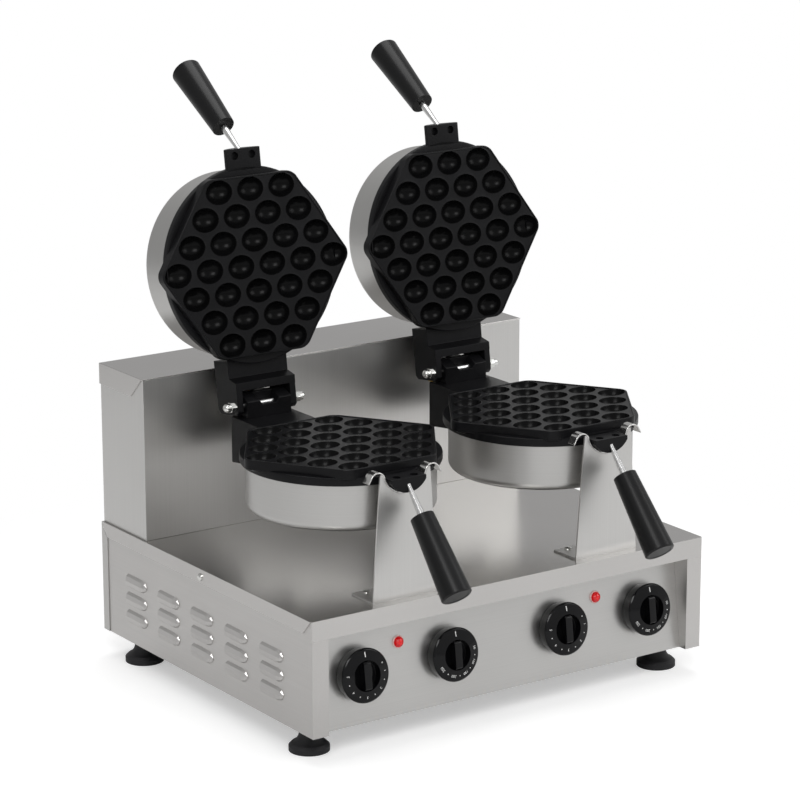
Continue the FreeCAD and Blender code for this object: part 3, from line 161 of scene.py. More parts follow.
@dataclass(frozen=True)
class Finish:
    """A surface finish, built as one material.

    Attributes:
        name: Plain name of the finish.
        slot: The record's material slot that the finish belongs to. It is not used.
        colour: Its sRGB colour.
        roughness: Its mean roughness.
    """

    name: str
    slot: str
    colour: str
    roughness: float

    def material(self) -> bpy.types.Material:
        """Build the material, or find it if it was built before.

        Returns:
            The material.
        """
        known = bpy.data.materials.get(self.name)
        if known:
            return known
        made = bpy.data.materials.new(self.name)
        made.use_nodes = True
        tree = made.node_tree
        shader = tree.nodes["Principled BSDF"]
        shader.inputs["Base Color"].default_value = linear(self.colour)
        shader.inputs["Roughness"].default_value = self.roughness
        self.dress(tree, shader)
        return made

    def dress(self, tree: Tree, shader: Node) -> None:
        """Add the finish's patterns to the shader.

        Args:
            tree: Node tree of the material.
            shader: The surface shader.
        """

    def vary_roughness(self, tree: Tree, shader: Node, pattern: Socket, swing: float) -> None:
        """Let a pattern move the roughness about its mean.

        Args:
            tree: Node tree of the material.
            shader: The surface shader.
            pattern: A pattern from 0 to 1.
            swing: How far the roughness moves either way.
        """
        spread = add_node(
            tree, "MapRange",
            values={"To Min": self.roughness - swing, "To Max": self.roughness + swing},
            links={"Value": pattern},
        )
        tree.links.new(spread.outputs["Result"], shader.inputs["Roughness"])

    def tint(
        self, tree: Tree, shader: Node, pattern: Socket, shades: tuple[tuple[float, float], ...],
    ) -> None:
        """Let a pattern shade the colour.

        Args:
            tree: Node tree of the material.
            shader: The surface shader.
            pattern: A pattern from 0 to 1.
            shades: Places on the pattern, each with its share of the colour.
        """
        stops = [(place, shade(self.colour, share)) for place, share in shades]
        tree.links.new(ramp(tree, pattern, stops), shader.inputs["Base Color"])

    def with_clouds(
        self, tree: Tree, place: Socket, pattern: Socket, size: float, detail: float, share: float
    ) -> Socket:
        """Mix soft clouds into a pattern.

        Args:
            tree: Node tree of the material.
            place: The coordinates.
            pattern: A pattern from 0 to 1.
            size: How far the clouds reach.
            detail: How ragged they are.
            share: How much of the mix they are.

        Returns:
            The mix.
        """
        clouds = add_node(
            tree, "TexNoise", values={"Scale": 1 / size, "Detail": detail}, links={"Vector": place},
        )
        mixed = add_node(
            tree, "Mix", values={"Factor": share}, links={2: pattern, 3: clouds.outputs["Fac"]},
        )
        return mixed.outputs[0]

    def raise_surface(
        self, tree: Tree, shader: Node, pattern: Socket, depth: float, strength: float,
    ) -> None:
        """Let a pattern stand out of the surface.

        Args:
            tree: Node tree of the material.
            shader: The surface shader.
            pattern: A pattern from 0 to 1.
            depth: Its height in metres.
            strength: How much of it shows.
        """
        bump = add_node(
            tree, "Bump", values={"Distance": depth, "Strength": strength},
            links={"Height": pattern},
        )
        tree.links.new(bump.outputs["Normal"], shader.inputs["Normal"])


@dataclass(frozen=True)
class BrushedStainless(Finish):
    """Stainless sheet with a satin brushed face.

    The belt leaves fine parallel lines about 0.3 mm apart. They are drawn 0.9 mm apart so
    that they show, and they blur reflections across the grain. Rolling leaves soft clouds
    about two hands wide, which keep a large face from looking flat.
    """

    grain: Grain = Grain.X
    line_spacing: float = 0.9 * MM
    line_length: float = 240 * MM
    cloud_size: float = 210 * MM
    line_depth: float = 0.004 * MM
    relief: float = 0.4
    cloud_share: float = 0.6
    shades: tuple[tuple[float, float], ...] = ((0.3, 0.965), (0.7, 1.025))
    swing: float = 0.035

    def dress(self, tree: Tree, shader: Node) -> None:
        """Add brushed lines and soft clouds.

        Args:
            tree: Node tree of the material.
            shader: The surface shader.
        """
        shader.inputs["Metallic"].default_value = 1.0
        place = add_node(tree, "TexCoord").outputs["Object"]
        scale = [1 / self.line_spacing] * 3
        scale[self.grain.value] = 1 / self.line_length
        stretched = add_node(tree, "Mapping", values={"Scale": scale}, links={"Vector": place})
        lines = add_node(
            tree, "TexNoise", values={"Scale": 1.0, "Detail": 3.0, "Roughness": 0.65},
            links={"Vector": stretched.outputs["Vector"]},
        ).outputs["Fac"]
        both = self.with_clouds(tree, place, lines, self.cloud_size, 2.0, self.cloud_share)
        self.tint(tree, shader, both, self.shades)
        self.vary_roughness(tree, shader, both, self.swing)
        self.raise_surface(tree, shader, lines, self.line_depth, self.relief)


@dataclass(frozen=True)
class DrawnCup(Finish):
    """Deep-drawn stainless cup, linished on a lathe.

    The belt runs round the cup, so the lines follow its wall and blur reflections up and
    down. The axis names the direction that the cup opens along.
    """

    axis: tuple[float, float, float] = (0.0, 0.0, 1.0)
    line_spacing: float = 1.2 * MM
    cloud_size: float = 130 * MM
    line_depth: float = 0.003 * MM
    relief: float = 0.3
    cloud_share: float = 0.6
    shades: tuple[tuple[float, float], ...] = ((0.3, 0.975), (0.7, 1.02))
    swing: float = 0.03

    def dress(self, tree: Tree, shader: Node) -> None:
        """Add lines that run round the axis.

        Args:
            tree: Node tree of the material.
            shader: The surface shader.
        """
        shader.inputs["Metallic"].default_value = 1.0
        place = add_node(tree, "TexCoord").outputs["Object"]
        height = add_node(
            tree, "VectorMath", settings={"operation": "DOT_PRODUCT"},
            values={1: self.axis}, links={0: place},
        )
        lines = add_node(
            tree, "TexNoise", settings={"noise_dimensions": "1D"},
            values={"Scale": 1 / self.line_spacing, "Detail": 2.0},
            links={"W": height.outputs["Value"]},
        ).outputs["Fac"]
        both = self.with_clouds(tree, place, lines, self.cloud_size, 2.0, self.cloud_share)
        self.tint(tree, shader, both, self.shades)
        self.vary_roughness(tree, shader, both, self.swing)
        self.raise_surface(tree, shader, lines, self.line_depth, self.relief)


@dataclass(frozen=True)
class PolishedMetal(Finish):
    """Bright metal, turned, ground or plated, with faint handling marks.

    The marks are hairlines a few millimetres long. They break the mirror a little.
    """

    mark_size: float = 4 * MM
    swing: float = 0.04
    shades: tuple[tuple[float, float], ...] = ((0.3, 0.95), (0.7, 1.03))

    def dress(self, tree: Tree, shader: Node) -> None:
        """Add the faint marks.

        Args:
            tree: Node tree of the material.
            shader: The surface shader.
        """
        shader.inputs["Metallic"].default_value = 1.0
        place = add_node(tree, "TexCoord").outputs["Object"]
        marks = add_node(
            tree, "TexNoise", values={"Scale": 1 / self.mark_size, "Detail": 4.0, "Roughness": 0.6},
            links={"Vector": place},
        ).outputs["Fac"]
        self.tint(tree, shader, marks, self.shades)
        self.vary_roughness(tree, shader, marks, self.swing)


@dataclass(frozen=True)
class CoatedCasting(Finish):
    """Sand-cast aluminium under a sprayed black non-stick coat.

    The sand and the spray leave a fine pebble about 0.4 mm across, drawn at 0.9 mm. The
    baked fluoropolymer has a low index, so it stays black and shines only where a lamp
    stands in its bowls. Batter leaves it uneven over a few centimetres.
    """

    index: float = 1.25
    pebble: float = 0.9 * MM
    pebble_height: float = 0.05 * MM
    relief: float = 0.6
    patch_size: float = 30 * MM
    patch_share: float = 0.4
    shades: tuple[tuple[float, float], ...] = ((0.35, 0.75), (0.65, 1.35))
    swing: float = 0.1

    def dress(self, tree: Tree, shader: Node) -> None:
        """Add the pebble and the uneven sheen.

        Args:
            tree: Node tree of the material.
            shader: The surface shader.
        """
        shader.inputs["IOR"].default_value = self.index
        place = add_node(tree, "TexCoord").outputs["Object"]
        pebble = add_node(
            tree, "TexNoise", values={"Scale": 1 / self.pebble, "Detail": 2.0, "Roughness": 0.55},
            links={"Vector": place},
        ).outputs["Fac"]
        both = self.with_clouds(tree, place, pebble, self.patch_size, 3.0, self.patch_share)
        self.tint(tree, shader, both, self.shades)
        self.vary_roughness(tree, shader, both, self.swing)
        self.raise_surface(tree, shader, pebble, self.pebble_height, self.relief)


@dataclass(frozen=True)
class MouldedPlastic(Finish):
    """Moulded plastic or rubber whose skin copies the mould.

    The mould's blasted face gives a grain well under a millimetre, drawn coarse enough to
    soften the edge of a highlight.
    """

    skin_size: float = 1.2 * MM
    skin_height: float = 0.02 * MM
    swing: float = 0.06
    index: float = 1.45
    relief: float = 0.4
    shades: tuple[tuple[float, float], ...] = ((0.35, 0.85), (0.65, 1.15))

    def dress(self, tree: Tree, shader: Node) -> None:
        """Add the mould's grain.

        Args:
            tree: Node tree of the material.
            shader: The surface shader.
        """
        shader.inputs["IOR"].default_value = self.index
        place = add_node(tree, "TexCoord").outputs["Object"]
        skin = add_node(
            tree, "TexNoise", values={"Scale": 1 / self.skin_size, "Detail": 2.0},
            links={"Vector": place},
        ).outputs["Fac"]
        self.tint(tree, shader, skin, self.shades)
        self.vary_roughness(tree, shader, skin, self.swing)
        self.raise_surface(tree, shader, skin, self.skin_height, self.relief)


@dataclass(frozen=True)
class LampLens(Finish):
    """Moulded red polycarbonate over a small lamp that is off.

    Light sinks in and comes back as a deep red, under a clear glossy skin.
    """

    facet_size: float = 2.2 * MM
    index: float = 1.58
    coat: float = 0.1
    coat_roughness: float = 0.05
    reds: tuple[tuple[float, str], ...] = ((0.1, "#FF1018"), (0.75, "#D00008"))

    def dress(self, tree: Tree, shader: Node) -> None:
        """Add the inner facets that show through the dome.

        Args:
            tree: Node tree of the material.
            shader: The surface shader.
        """
        shader.inputs["IOR"].default_value = self.index
        shader.inputs["Coat Weight"].default_value = self.coat
        shader.inputs["Coat Roughness"].default_value = self.coat_roughness
        place = add_node(tree, "TexCoord").outputs["Object"]
        facets = add_node(
            tree, "TexVoronoi", values={"Scale": 1 / self.facet_size}, links={"Vector": place},
        )
        tone = ramp(tree, facets.outputs["Distance"], list(self.reds))
        tree.links.new(tone, shader.inputs["Base Color"])


def shade(colour: str, share: float) -> str:
    """Make an sRGB colour darker or lighter.

    Args:
        colour: Six hex digits after a hash.
        share: Factor on each part.

    Returns:
        The changed colour.
    """
    parts = [int(colour[place : place + 2], 16) for place in (1, 3, 5)]
    return "#" + "".join(f"{min(255, round(part * share)):02X}" for part in parts)


OPEN_ANGLE = math.radians(98)
CUP_AXIS_UPPER = (0.0, -math.sin(OPEN_ANGLE), math.cos(OPEN_ANGLE))

TOP_SHEET = BrushedStainless("brushed stainless, along", "stainless_sheet", "#C9C7C5", 0.21)
FRONT_SHEET = BrushedStainless("brushed stainless, front", "stainless_sheet", "#C8C7C5", 0.33)
SIDE_SHEET = BrushedStainless(
    "brushed stainless, side", "stainless_sheet", "#CBC9C7", 0.36, Grain.Y
)
REAR_SHEET = BrushedStainless(
    "brushed stainless, upright", "stainless_sheet", "#D2D1CF", 0.36, Grain.Z
)
LOWER_CUP_METAL = DrawnCup("linished drawn steel", "satin_cup", "#C2C1BF", 0.36)
UPPER_CUP_METAL = DrawnCup(
    "linished drawn steel, lid", "satin_cup", "#C6C5C3", 0.35, CUP_AXIS_UPPER
)
STRIP_METAL = PolishedMetal("polished stainless strip", "polished_strip", "#D8D7D5", 0.14)
CHROME = PolishedMetal("chromed rod", "handle_chrome", "#E6E6E5", 0.2, swing=0.03)
ZINC = PolishedMetal("zinc-plated fastener", "steel_fastener", "#E2E2DF", 0.2)
SHAFT_METAL = PolishedMetal("ground steel shaft", "shaft_steel", "#B9B8B5", 0.28)
BRASS = PolishedMetal("turned bearing brass", "bearing_brass", "#C9A75E", 0.3)
HEATER_METAL = PolishedMetal("heater sheath steel", "heater_steel", "#7F7A74", 0.42)
CASTING = CoatedCasting("non-stick cast aluminium", "coated_casting", "#0F0F10", 0.34)
# The bowls' coat is smoother than the web's, and its darker colour is painted shade in the hollow
# bowls.
EGG_BOWL = CoatedCasting(
    "smoother non-stick coat, painted shade in the bowls",
    "coated_casting",
    "#0A0A0B",
    0.24,
    index=1.18,
    pebble_height=0.006 * MM,
)
GRIP_PLASTIC = MouldedPlastic("moulded thermoset grip", "grip_black", "#0C0C0D", 0.3, index=1.36)
KNOB_PLASTIC = MouldedPlastic(
    "gloss moulded phenolic", "knob_black", "#08080A", 0.13, 3 * MM, 0.012 * MM, 0.03, 1.32
)
KNOB_PRINT = MouldedPlastic("white pad print", "knob_black", "#E4E4E0", 0.5)
FOOT_RUBBER = MouldedPlastic("black foot rubber", "foot_black", "#1C1C1E", 0.55)
GLAND_PLASTIC = MouldedPlastic("black nylon gland", "gland_black", "#1D1D1F", 0.45)
CASE_PLASTIC = MouldedPlastic("cream switch case", "switch_case", "#CFC7B2", 0.5)
# The lamp body is a real bezel; its pale pink tone is a painted highlight on the lens's rim.
BEZEL_PLASTIC = MouldedPlastic("pale lamp bezel", "lamp_body", "#D9B4B0", 0.35)
LENS = LampLens("red polycarbonate lens", "lens_red", "#D01018", 0.12)


def soften(bm: Mesh, width: float, angle: float = 30.0, segments: int = 2) -> None:
    """Round every edge that is sharper than an angle.

    Args:
        bm: The mesh.
        width: How far the rounding reaches from the edge.
        angle: Smallest angle between faces, in degrees, that counts as an edge.
        segments: Faces across the rounding.
    """
    limit = math.radians(angle)
    edges = [edge for edge in bm.edges if edge.is_manifold and edge.calc_face_angle() > limit]
    bmesh.ops.bevel(
        bm, geom=edges, offset=width, offset_type="OFFSET", segments=segments, profile=0.5,
        affect="EDGES", clamp_overlap=True, material=-1,
    )


def verts_of(geom: list) -> list[bmesh.types.BMVert]:
    """Pick the vertices out of what an operator gives."""
    return [item for item in geom if isinstance(item, bmesh.types.BMVert)]


def edges_of(geom: list) -> list[bmesh.types.BMEdge]:
    """Pick the edges out of what an operator gives."""
    return [item for item in geom if isinstance(item, bmesh.types.BMEdge)]


def point_outward(part: Mesh) -> None:
    """Turn every face of a closed mesh outward."""
    bmesh.ops.recalc_face_normals(part, faces=part.faces)


def pull(part: Mesh, faces: list, offset: tuple[float, float, float], keep: bool = False) -> list:
    """Extrude faces and move the new ones.

    Args:
        part: The mesh.
        faces: The faces.
        offset: How far they move.
        keep: Whether the first faces stay, so that the shape is closed.

    Returns:
        What the extrusion gives.
    """
    grown = bmesh.ops.extrude_face_region(part, geom=faces, use_keep_orig=keep)["geom"]
    bmesh.ops.translate(part, vec=offset, verts=verts_of(grown))
    return grown


def add_ring(part: Mesh, sides: int, radius: float, matrix: Matrix) -> list[bmesh.types.BMEdge]:
    """Add an open ring of edges.

    Args:
        part: The mesh.
        sides: How many edges it has.
        radius: Its radius.
        matrix: Where it stands.

    Returns:
        Its edges.
    """
    ring = bmesh.ops.create_circle(
        part, cap_ends=False, segments=sides, radius=radius, matrix=matrix
    )["verts"]
    return list({edge for vert in ring for edge in vert.link_edges})


def along_x(start: float) -> Matrix:
    """Axes for a prism whose outline is in Y and Z and which runs along +X.

    Args:
        start: Where it starts along X.

    Returns:
        The place.
    """
    return Matrix(((0, 0, 1, start), (1, 0, 0, 0), (0, 1, 0, 0), (0, 0, 0, 1)))


def prism(
    bm: Mesh, outline: Points, depth: float, matrix: Matrix, round_width: float = 0.0,
) -> None:
    """Add a prism over a closed outline, with its edges rounded.

    Args:
        bm: The mesh that gets the prism.
        outline: Corners in the prism's own XY plane.
        depth: Its length along its own Z.
        matrix: Where the prism's own axes stand.
        round_width: Rounding of its edges.
    """
    part = bmesh.new()
    corners = [part.verts.new((x, y, 0)) for x, y in outline]
    pull(part, [part.faces.new(corners)], (0, 0, depth))
    point_outward(part)
    if round_width:
        soften(part, round_width)
    bmesh.ops.transform(part, matrix=matrix, verts=part.verts)
    point_outward(part)
    join(bm, part)


def turned(
    bm: Mesh, profile: Points, steps: int, matrix: Matrix, round_width: float = 0.0,
    segments: int = 2,
) -> None:
    """Add a turned body with its edges rounded.

    Args:
        bm: The mesh that gets the body.
        profile: Radius and height of each corner, from axis to axis.
        steps: Faces round the body.
        matrix: Where the body's own axes stand.
        round_width: Rounding of its edges.
        segments: Faces across the rounding.
    """
    part = bmesh.new()
    corners = [part.verts.new((radius, 0, height)) for radius, height in profile]
    for near, far in zip(corners, corners[1:]):
        part.edges.new((near, far))
    bmesh.ops.spin(
        part, geom=part.verts[:] + part.edges[:], cent=(0, 0, 0), axis=(0, 0, 1), angle=math.tau,
        steps=steps, use_merge=True, use_duplicate=False,
    )
    bmesh.ops.remove_doubles(part, verts=part.verts, dist=NEAR)
    point_outward(part)
    if round_width:
        soften(part, round_width, TURNED_EDGE, segments)
    bmesh.ops.transform(part, matrix=matrix, verts=part.verts)
    point_outward(part)
    join(bm, part)


def join(bm: Mesh, part: Mesh) -> None:
    """Add one mesh to another and free it.

    Args:
        bm: The mesh that grows.
        part: The mesh that is added.
    """
    carrier = bpy.data.meshes.new("carrier")
    part.to_mesh(carrier)
    part.free()
    bm.from_mesh(carrier)
    bpy.data.meshes.remove(carrier)


def add_piece(
    name: str, bm: Mesh, finish: Finish, body: str, stands_for: str = "",
    second: Finish | None = None, smooth_angle: float = 35.0,
) -> bpy.types.Object:
    """Make a finished piece of a mesh.

    Args:
        name: Name of the piece.
        bm: Its mesh, in the machine's frame. It is freed.
        finish: Its finish.
        body: The body that it rides on.
        stands_for: The solid that it replaces, if any.
        second: The finish of the faces that are numbered one, if any.
        smooth_angle: Faces that meet flatter than this shade as one.

    Returns:
        The piece.
    """
    mesh = bpy.data.meshes.new(name)
    bm.to_mesh(mesh)
    bm.free()
    mesh.shade_smooth()
    mesh.set_sharp_from_angle(angle=math.radians(smooth_angle))
    piece = bpy.data.objects.new(name, mesh)
    bpy.context.scene.collection.objects.link(piece)
    mesh.materials.append(finish.material())
    if second:
        mesh.materials.append(second.material())
    weighted = piece.modifiers.new("even shading", "WEIGHTED_NORMAL")
    weighted.keep_sharp = True
    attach(piece, body)
    if stands_for:
        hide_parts(stands_for)
    LOG.info("%s: %d faces", name, len(mesh.polygons))
    return piece


def dress_node(node: str, finish: Finish) -> None:
    """Give a solid that stays its finish.

    Args:
        node: Name of the solid.
        finish: Its finish.
    """
    piece = frame["nodes"][node]
    for slot in piece.material_slots:
        slot.material = finish.material()


@dataclass
class FoldedSheets:
    """Sheet pieces whose folds and edges get the small radius of a press brake.

    Attributes:
        fold: Rounding of each edge, under half the sheet's thickness.
        fold_angle: Smallest angle in degrees that counts as an edge.
        merge: How near two corners of the solid's triangles count as one.
        flat_angle: Largest angle in degrees between triangles of one flat face.
    """

    fold: float = 0.45 * MM
    fold_angle: float = 40.0
    merge: float = 0.002 * MM
    flat_angle: float = 0.5

    def build(self) -> None:
        """Build every sheet piece of the cabinet and of the saddles."""
        for node, finish in (
            ("worktop", TOP_SHEET), ("control_panel", FRONT_SHEET), ("rear_panel", FRONT_SHEET),
            ("rear_housing", REAR_SHEET), ("rear_housing_lid", TOP_SHEET),
            ("left_saddle_bracket", REAR_SHEET), ("right_saddle_bracket", REAR_SHEET),
        ):
            self.sheet(node, finish)
        for node in ("left_saddle_strip", "right_saddle_strip"):
            self.sheet(node, STRIP_METAL)

    def sheet(self, node: str, finish: Finish) -> None:
        """Round the edges of a copy of one solid.

        Args:
            node: Name of the solid.
            finish: Its finish.
        """
        bm = bmesh.new()
        bm.from_mesh(frame["nodes"][node].data)
        bmesh.ops.remove_doubles(bm, verts=bm.verts, dist=self.merge)
        bmesh.ops.dissolve_limit(
            bm, angle_limit=math.radians(self.flat_angle), use_dissolve_boundaries=False,
            verts=bm.verts, edges=bm.edges,
        )
        soften(bm, self.fold, self.fold_angle)
        add_piece(node + "_folded", bm, finish, "base", node)


@dataclass
class Iron:
    """One iron: its two castings with the egg cavities, and what is fixed to them.

    Places are measured from the pan's centre and the parting plane, with the hinge toward
    +Y and the casting's back toward -Z, as the lower half lies.
    """

    side: Side
    hex_point: float = 122 * MM
    hex_flat: float = 99 * MM
    hex_shoulder: float = 56 * MM
    corner_reach: float = 8.3 * MM
    corner_steps: int = 8
    round_sides: int = 96
    flange_radius: float = 109 * MM
    flange_back: float = 19 * MM
    wall: float = 9.5 * MM
    rim_face: float = 0.2 * MM
    rim_width: float = 1.6 * MM
    rim_rise: float = 0.8 * MM
    rim_round_share: float = 0.6
    rim_flat_share: float = 0.5
    rim_steps: int = 3
    cavity_length: float = 32 * MM
    cavity_width: float = 25.6 * MM
    cavity_depth: float = 12 * MM
    cavity_pitch: float = 40 * MM
    row_pitch: float = 28 * MM
    row_counts: tuple[int, ...] = (3, 4, 5, 6, 5, 4, 3)
    cavity_sides: int = 24
    cavity_turns: tuple[float, ...] = (5.0, 18.0, 32.0, 47.0, 62.0, 77.0)
    hollow_inset: float = 2 * MM
    hollow_step: float = 0.05 * MM
    hollow_floor: float = 15.2 * MM
    base_inset: float = 7.5 * MM
    base_drop: float = 3.6 * MM
    lip: float = 1.1 * MM
    bead_rise: float = 0.3 * MM
    lug_end: float = 128.5 * MM
    lug_back: float = 104 * MM
    lug_half_width: float = 22 * MM
    journal_radius: float = 26 * MM
    lug_hole_radius: float = 4.5 * MM
    lug_hole_depth: float = 5 * MM
    lug_hole_x: float = 11 * MM
    lug_hole_from_end: float = 7.5 * MM
    lug_hole_sides: int = 28
    lug_round: float = 0.8 * MM
    lug_edge_angle: float = 50.0
    pin_back: float = 153 * MM
    pin_rise: float = 10.5 * MM
    cast_round: float = 1.5 * MM
    edge_round: float = 0.9 * MM
    sunk: float = 1 * MM
    wall_inset: float = 0.1 * MM
    block_half_width: float = 37 * MM
    block_front: float = 106 * MM
    block_heel: float = 125 * MM
    block_back: float = 164 * MM
    block_toe_drop: float = 38 * MM
    block_heel_drop: float = 50.5 * MM
    block_drop: float = 55.5 * MM
    ledge_drop: float = 2.5 * MM
    knuckle_half_width: float = 28.5 * MM
    knuckle_front: float = 142 * MM
    knuckle_rise: float = 16.5 * MM
    knuckle_crest: float = 23 * MM
    notch_top_width: float = 25 * MM
    notch_floor_width: float = 18 * MM
    notch_floor: float = 11.5 * MM
    notch_depth: float = 16 * MM
    knuckle_edge_angle: float = 20.0
    ear_inner: float = 30.5 * MM
    ear_outer: float = 38.5 * MM
    ear_below_pin: float = 10 * MM
    ear_corner: float = 4 * MM
    arm_front: float = 104 * MM
    arm_face: float = 18 * MM
    arm_back: float = 47.5 * MM
    cove_start: float = 122.5 * MM
    bar_front: float = 127 * MM
    bar_back: float = 136 * MM
    bar_face: float = 4 * MM

    def centre(self) -> Vector:
        """Find the pan's centre on the parting plane.

        Returns:
            The centre, read from the cup's box.
        """
        low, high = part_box(self.side.value + "_lower_cup")
        middle = (low + high) / 2
        return Vector((middle.x, middle.y, high.z + self.flange_back))

    def lower_place(self) -> Matrix:
        """Where the lower half's own axes stand."""
        return Matrix.Translation(self.centre())

    def upper_place(self) -> Matrix:
        """Where the upper half's own axes stand.

        Returns:
            The place, turned over and open.
        """
        pin = Vector((0, self.pin_back, self.pin_rise))
        swing = (
            Matrix.Translation(pin)
            @ Matrix.Rotation(-OPEN_ANGLE, 4, "X")
            @ Matrix.Translation(-pin)
        )
        return Matrix.Translation(self.centre()) @ swing @ Matrix.Rotation(math.pi, 4, "Y")

    def build(self) -> None:
        """Build both castings."""
        lower = bmesh.new()
        self.baking_plate(lower)
        self.hinge_block(lower)
        bmesh.ops.transform(lower, matrix=self.lower_place(), verts=lower.verts)
        self.add_casting(lower, Half.LOWER, "_pan")
        upper = bmesh.new()
        self.baking_plate(upper)
        self.hinge_arm(upper)
        bmesh.ops.transform(upper, matrix=self.upper_place(), verts=upper.verts)
        self.add_casting(upper, Half.UPPER, "_lid")

    def add_casting(self, bm: Mesh, half: Half, body: str) -> None:
        """Make one casting a finished piece, with its bowls in a smoother coat whose darker colour
        is painted shade.

        Args:
            bm: The casting's mesh.
            half: Which half it is.
            body: Ending of its body's name.
        """
        name = f"{self.side.value}_{half.value}"
        body = self.side.value + body
        add_piece(name + "_casting", bm, CASTING, body, name + "_plate", EGG_BOWL)

    def baking_plate(self, bm: Mesh) -> None:
        """Add the flange, the lug and the raised hexagon with its cavities.

        Args:
            bm: The casting's mesh.
        """
        disc = bmesh.new()
        turned(
            disc,
            [
                (0, -self.flange_back), (self.flange_radius, -self.flange_back),
                (self.flange_radius, -self.wall), (0, -self.wall),
            ],
            self.round_sides,
            Matrix(),
            self.cast_round,
        )
        self.open_disc(disc)
        join(bm, disc)
        self.hexagon(bm)
        self.lug(bm)

    def disc_face(self, disc: Mesh) -> list[bmesh.types.BMFace]:
        """Faces of the flange's flat front.

        Args:
            disc: The flange's mesh.

        Returns:
            The faces.
        """
        height = -self.wall - self.wall_inset
        level = [face for face in disc.faces if face.normal.z > LEVEL]
        return [face for face in level if face.calc_center_median().z > height]

    def open_disc(self, disc: Mesh) -> None:
        """Sink the flange's front inside the hexagon, where the bowls hang into it.

        Args:
            disc: The flange's mesh.
        """
        slant = Vector((self.hex_flat, self.hex_point - self.hex_shoulder, 0))
        reach = self.hex_point * self.hex_flat / slant.length - self.hollow_inset
        slant.normalize()
        flat = self.hex_flat - self.hollow_inset
        sides = [(Vector((0, 1, 0)), flat), (Vector((0, -1, 0)), flat)]
        for across in (-1, 1):
            for along in (-1, 1):
                sides.append((Vector((across * slant.x, along * slant.y, 0)), reach))
        for outward, distance in sides:
            faces = self.disc_face(disc)
            edges = {edge for face in faces for edge in face.edges}
            verts = {vert for face in faces for vert in face.verts}
            bmesh.ops.bisect_plane(
                disc, geom=faces + list(edges) + list(verts), dist=TOUCH,
                plane_co=outward * distance, plane_no=outward,
            )
        inner = self.disc_face(disc)
        for outward, distance in sides:
            inner = [face for face in inner if face.calc_center_median().dot(outward) < distance]
        sink = self.wall - self.hollow_floor
        bmesh.ops.inset_region(disc, faces=inner, thickness=self.hollow_step, depth=sink)

    def hexagon(self, bm: Mesh) -> None:
        """Add the raised hexagon: walls, rim, web and cavities.

        Args:
            bm: The casting's mesh.
        """
        part = bmesh.new()
        corners = [
            part.verts.new((x, y, -self.wall - self.cast_round))
            for x, y in (
                (self.hex_point, 0), (self.hex_shoulder, self.hex_flat),
                (-self.hex_shoulder, self.hex_flat), (-self.hex_point, 0),
                (-self.hex_shoulder, -self.hex_flat), (self.hex_shoulder, -self.hex_flat),
            )
        ]
        part.faces.new(corners)
        bmesh.ops.bevel(
            part, geom=corners, offset=self.corner_reach, offset_type="OFFSET",
            segments=self.corner_steps, profile=0.5, affect="VERTICES", material=-1,
        )
        rise = self.wall + self.cast_round - self.rim_face
        raised = pull(part, part.faces[:], (0, 0, rise), True)
        top = next(item for item in raised if isinstance(item, bmesh.types.BMFace))
        rim_edges = top.edges[:]
        point_outward(part)
        bottom = min(part.faces, key=lambda item: item.calc_center_median().z)
        bmesh.ops.inset_region(
            part, faces=[bottom], thickness=self.base_inset, depth=self.base_drop
        )
        bmesh.ops.bevel(
            part, geom=rim_edges, offset=self.rim_round_share * self.rim_width,
            offset_type="OFFSET", segments=self.rim_steps, profile=0.5, affect="EDGES", material=-1,
        )
        part.faces.ensure_lookup_table()
        face = max(part.faces, key=lambda item: item.calc_center_median().z)
        share = self.rim_flat_share
        bmesh.ops.inset_region(part, faces=[face], thickness=share * self.rim_width)
        bmesh.ops.inset_region(
            part, faces=[face], thickness=share * self.rim_rise, depth=-self.rim_rise
        )
        rims = face.edges[:]
        web_height = face.calc_center_median().z
        bmesh.ops.delete(part, geom=[face], context="FACES_ONLY")
        walls = set(part.faces)
        middle_row = (len(self.row_counts) - 1) / 2
        for row, count in enumerate(self.row_counts):
            for place in range(count):
                x = (place - (count - 1) / 2) * self.cavity_pitch
                y = (row - middle_row) * self.row_pitch
                rims = rims + self.cavity(part, Vector((x, y, web_height)))
        # The bowls take the second finish, whose darker colour is painted shade in the hollows.
        for bowl in set(part.faces) - walls:
            bowl.material_index = 1
        bmesh.ops.triangle_fill(part, use_beauty=True, use_dissolve=False, edges=rims)
        point_outward(part)
        join(bm, part)

    def cavity(self, part: Mesh, centre: Vector) -> list[bmesh.types.BMEdge]:
        """Add one egg cavity as a bowl with a soft lip.

        Args:
            part: The hexagon's mesh.
            centre: Middle of the cavity on the web.

        Returns:
            The edges of its mouth.
        """
        size = Matrix.Diagonal((self.cavity_length / 2, self.cavity_width / 2, 1, 1))
        outer = 1 + 2 * self.lip / self.cavity_length
        mouth = add_ring(part, self.cavity_sides, outer, Matrix.Translation(centre) @ size)
        edges = mouth
        share, depth = outer, 0.0
        steps = [(1 + self.lip / self.cavity_length, -self.bead_rise)]
        for degrees in self.cavity_turns:
            turn = math.radians(degrees)
            steps.append((math.cos(turn), self.cavity_depth * math.sin(turn)))
        for next_share, next_depth in steps:
            grown = bmesh.ops.extrude_edge_only(part, edges=edges)["geom"]
            verts, edges = verts_of(grown), edges_of(grown)
            space = Matrix.Translation(-centre)
            bmesh.ops.scale(
                part, vec=(next_share / share, next_share / share, 1), space=space, verts=verts
            )
            bmesh.ops.translate(part, vec=(0, 0, depth - next_depth), verts=verts)
            share, depth = next_share, next_depth
        floor = bmesh.ops.contextual_create(part, geom=edges)["faces"]
        poked = bmesh.ops.poke(part, faces=floor)["verts"]
        bmesh.ops.translate(part, vec=(0, 0, depth - self.cavity_depth), verts=poked)
        return mouth

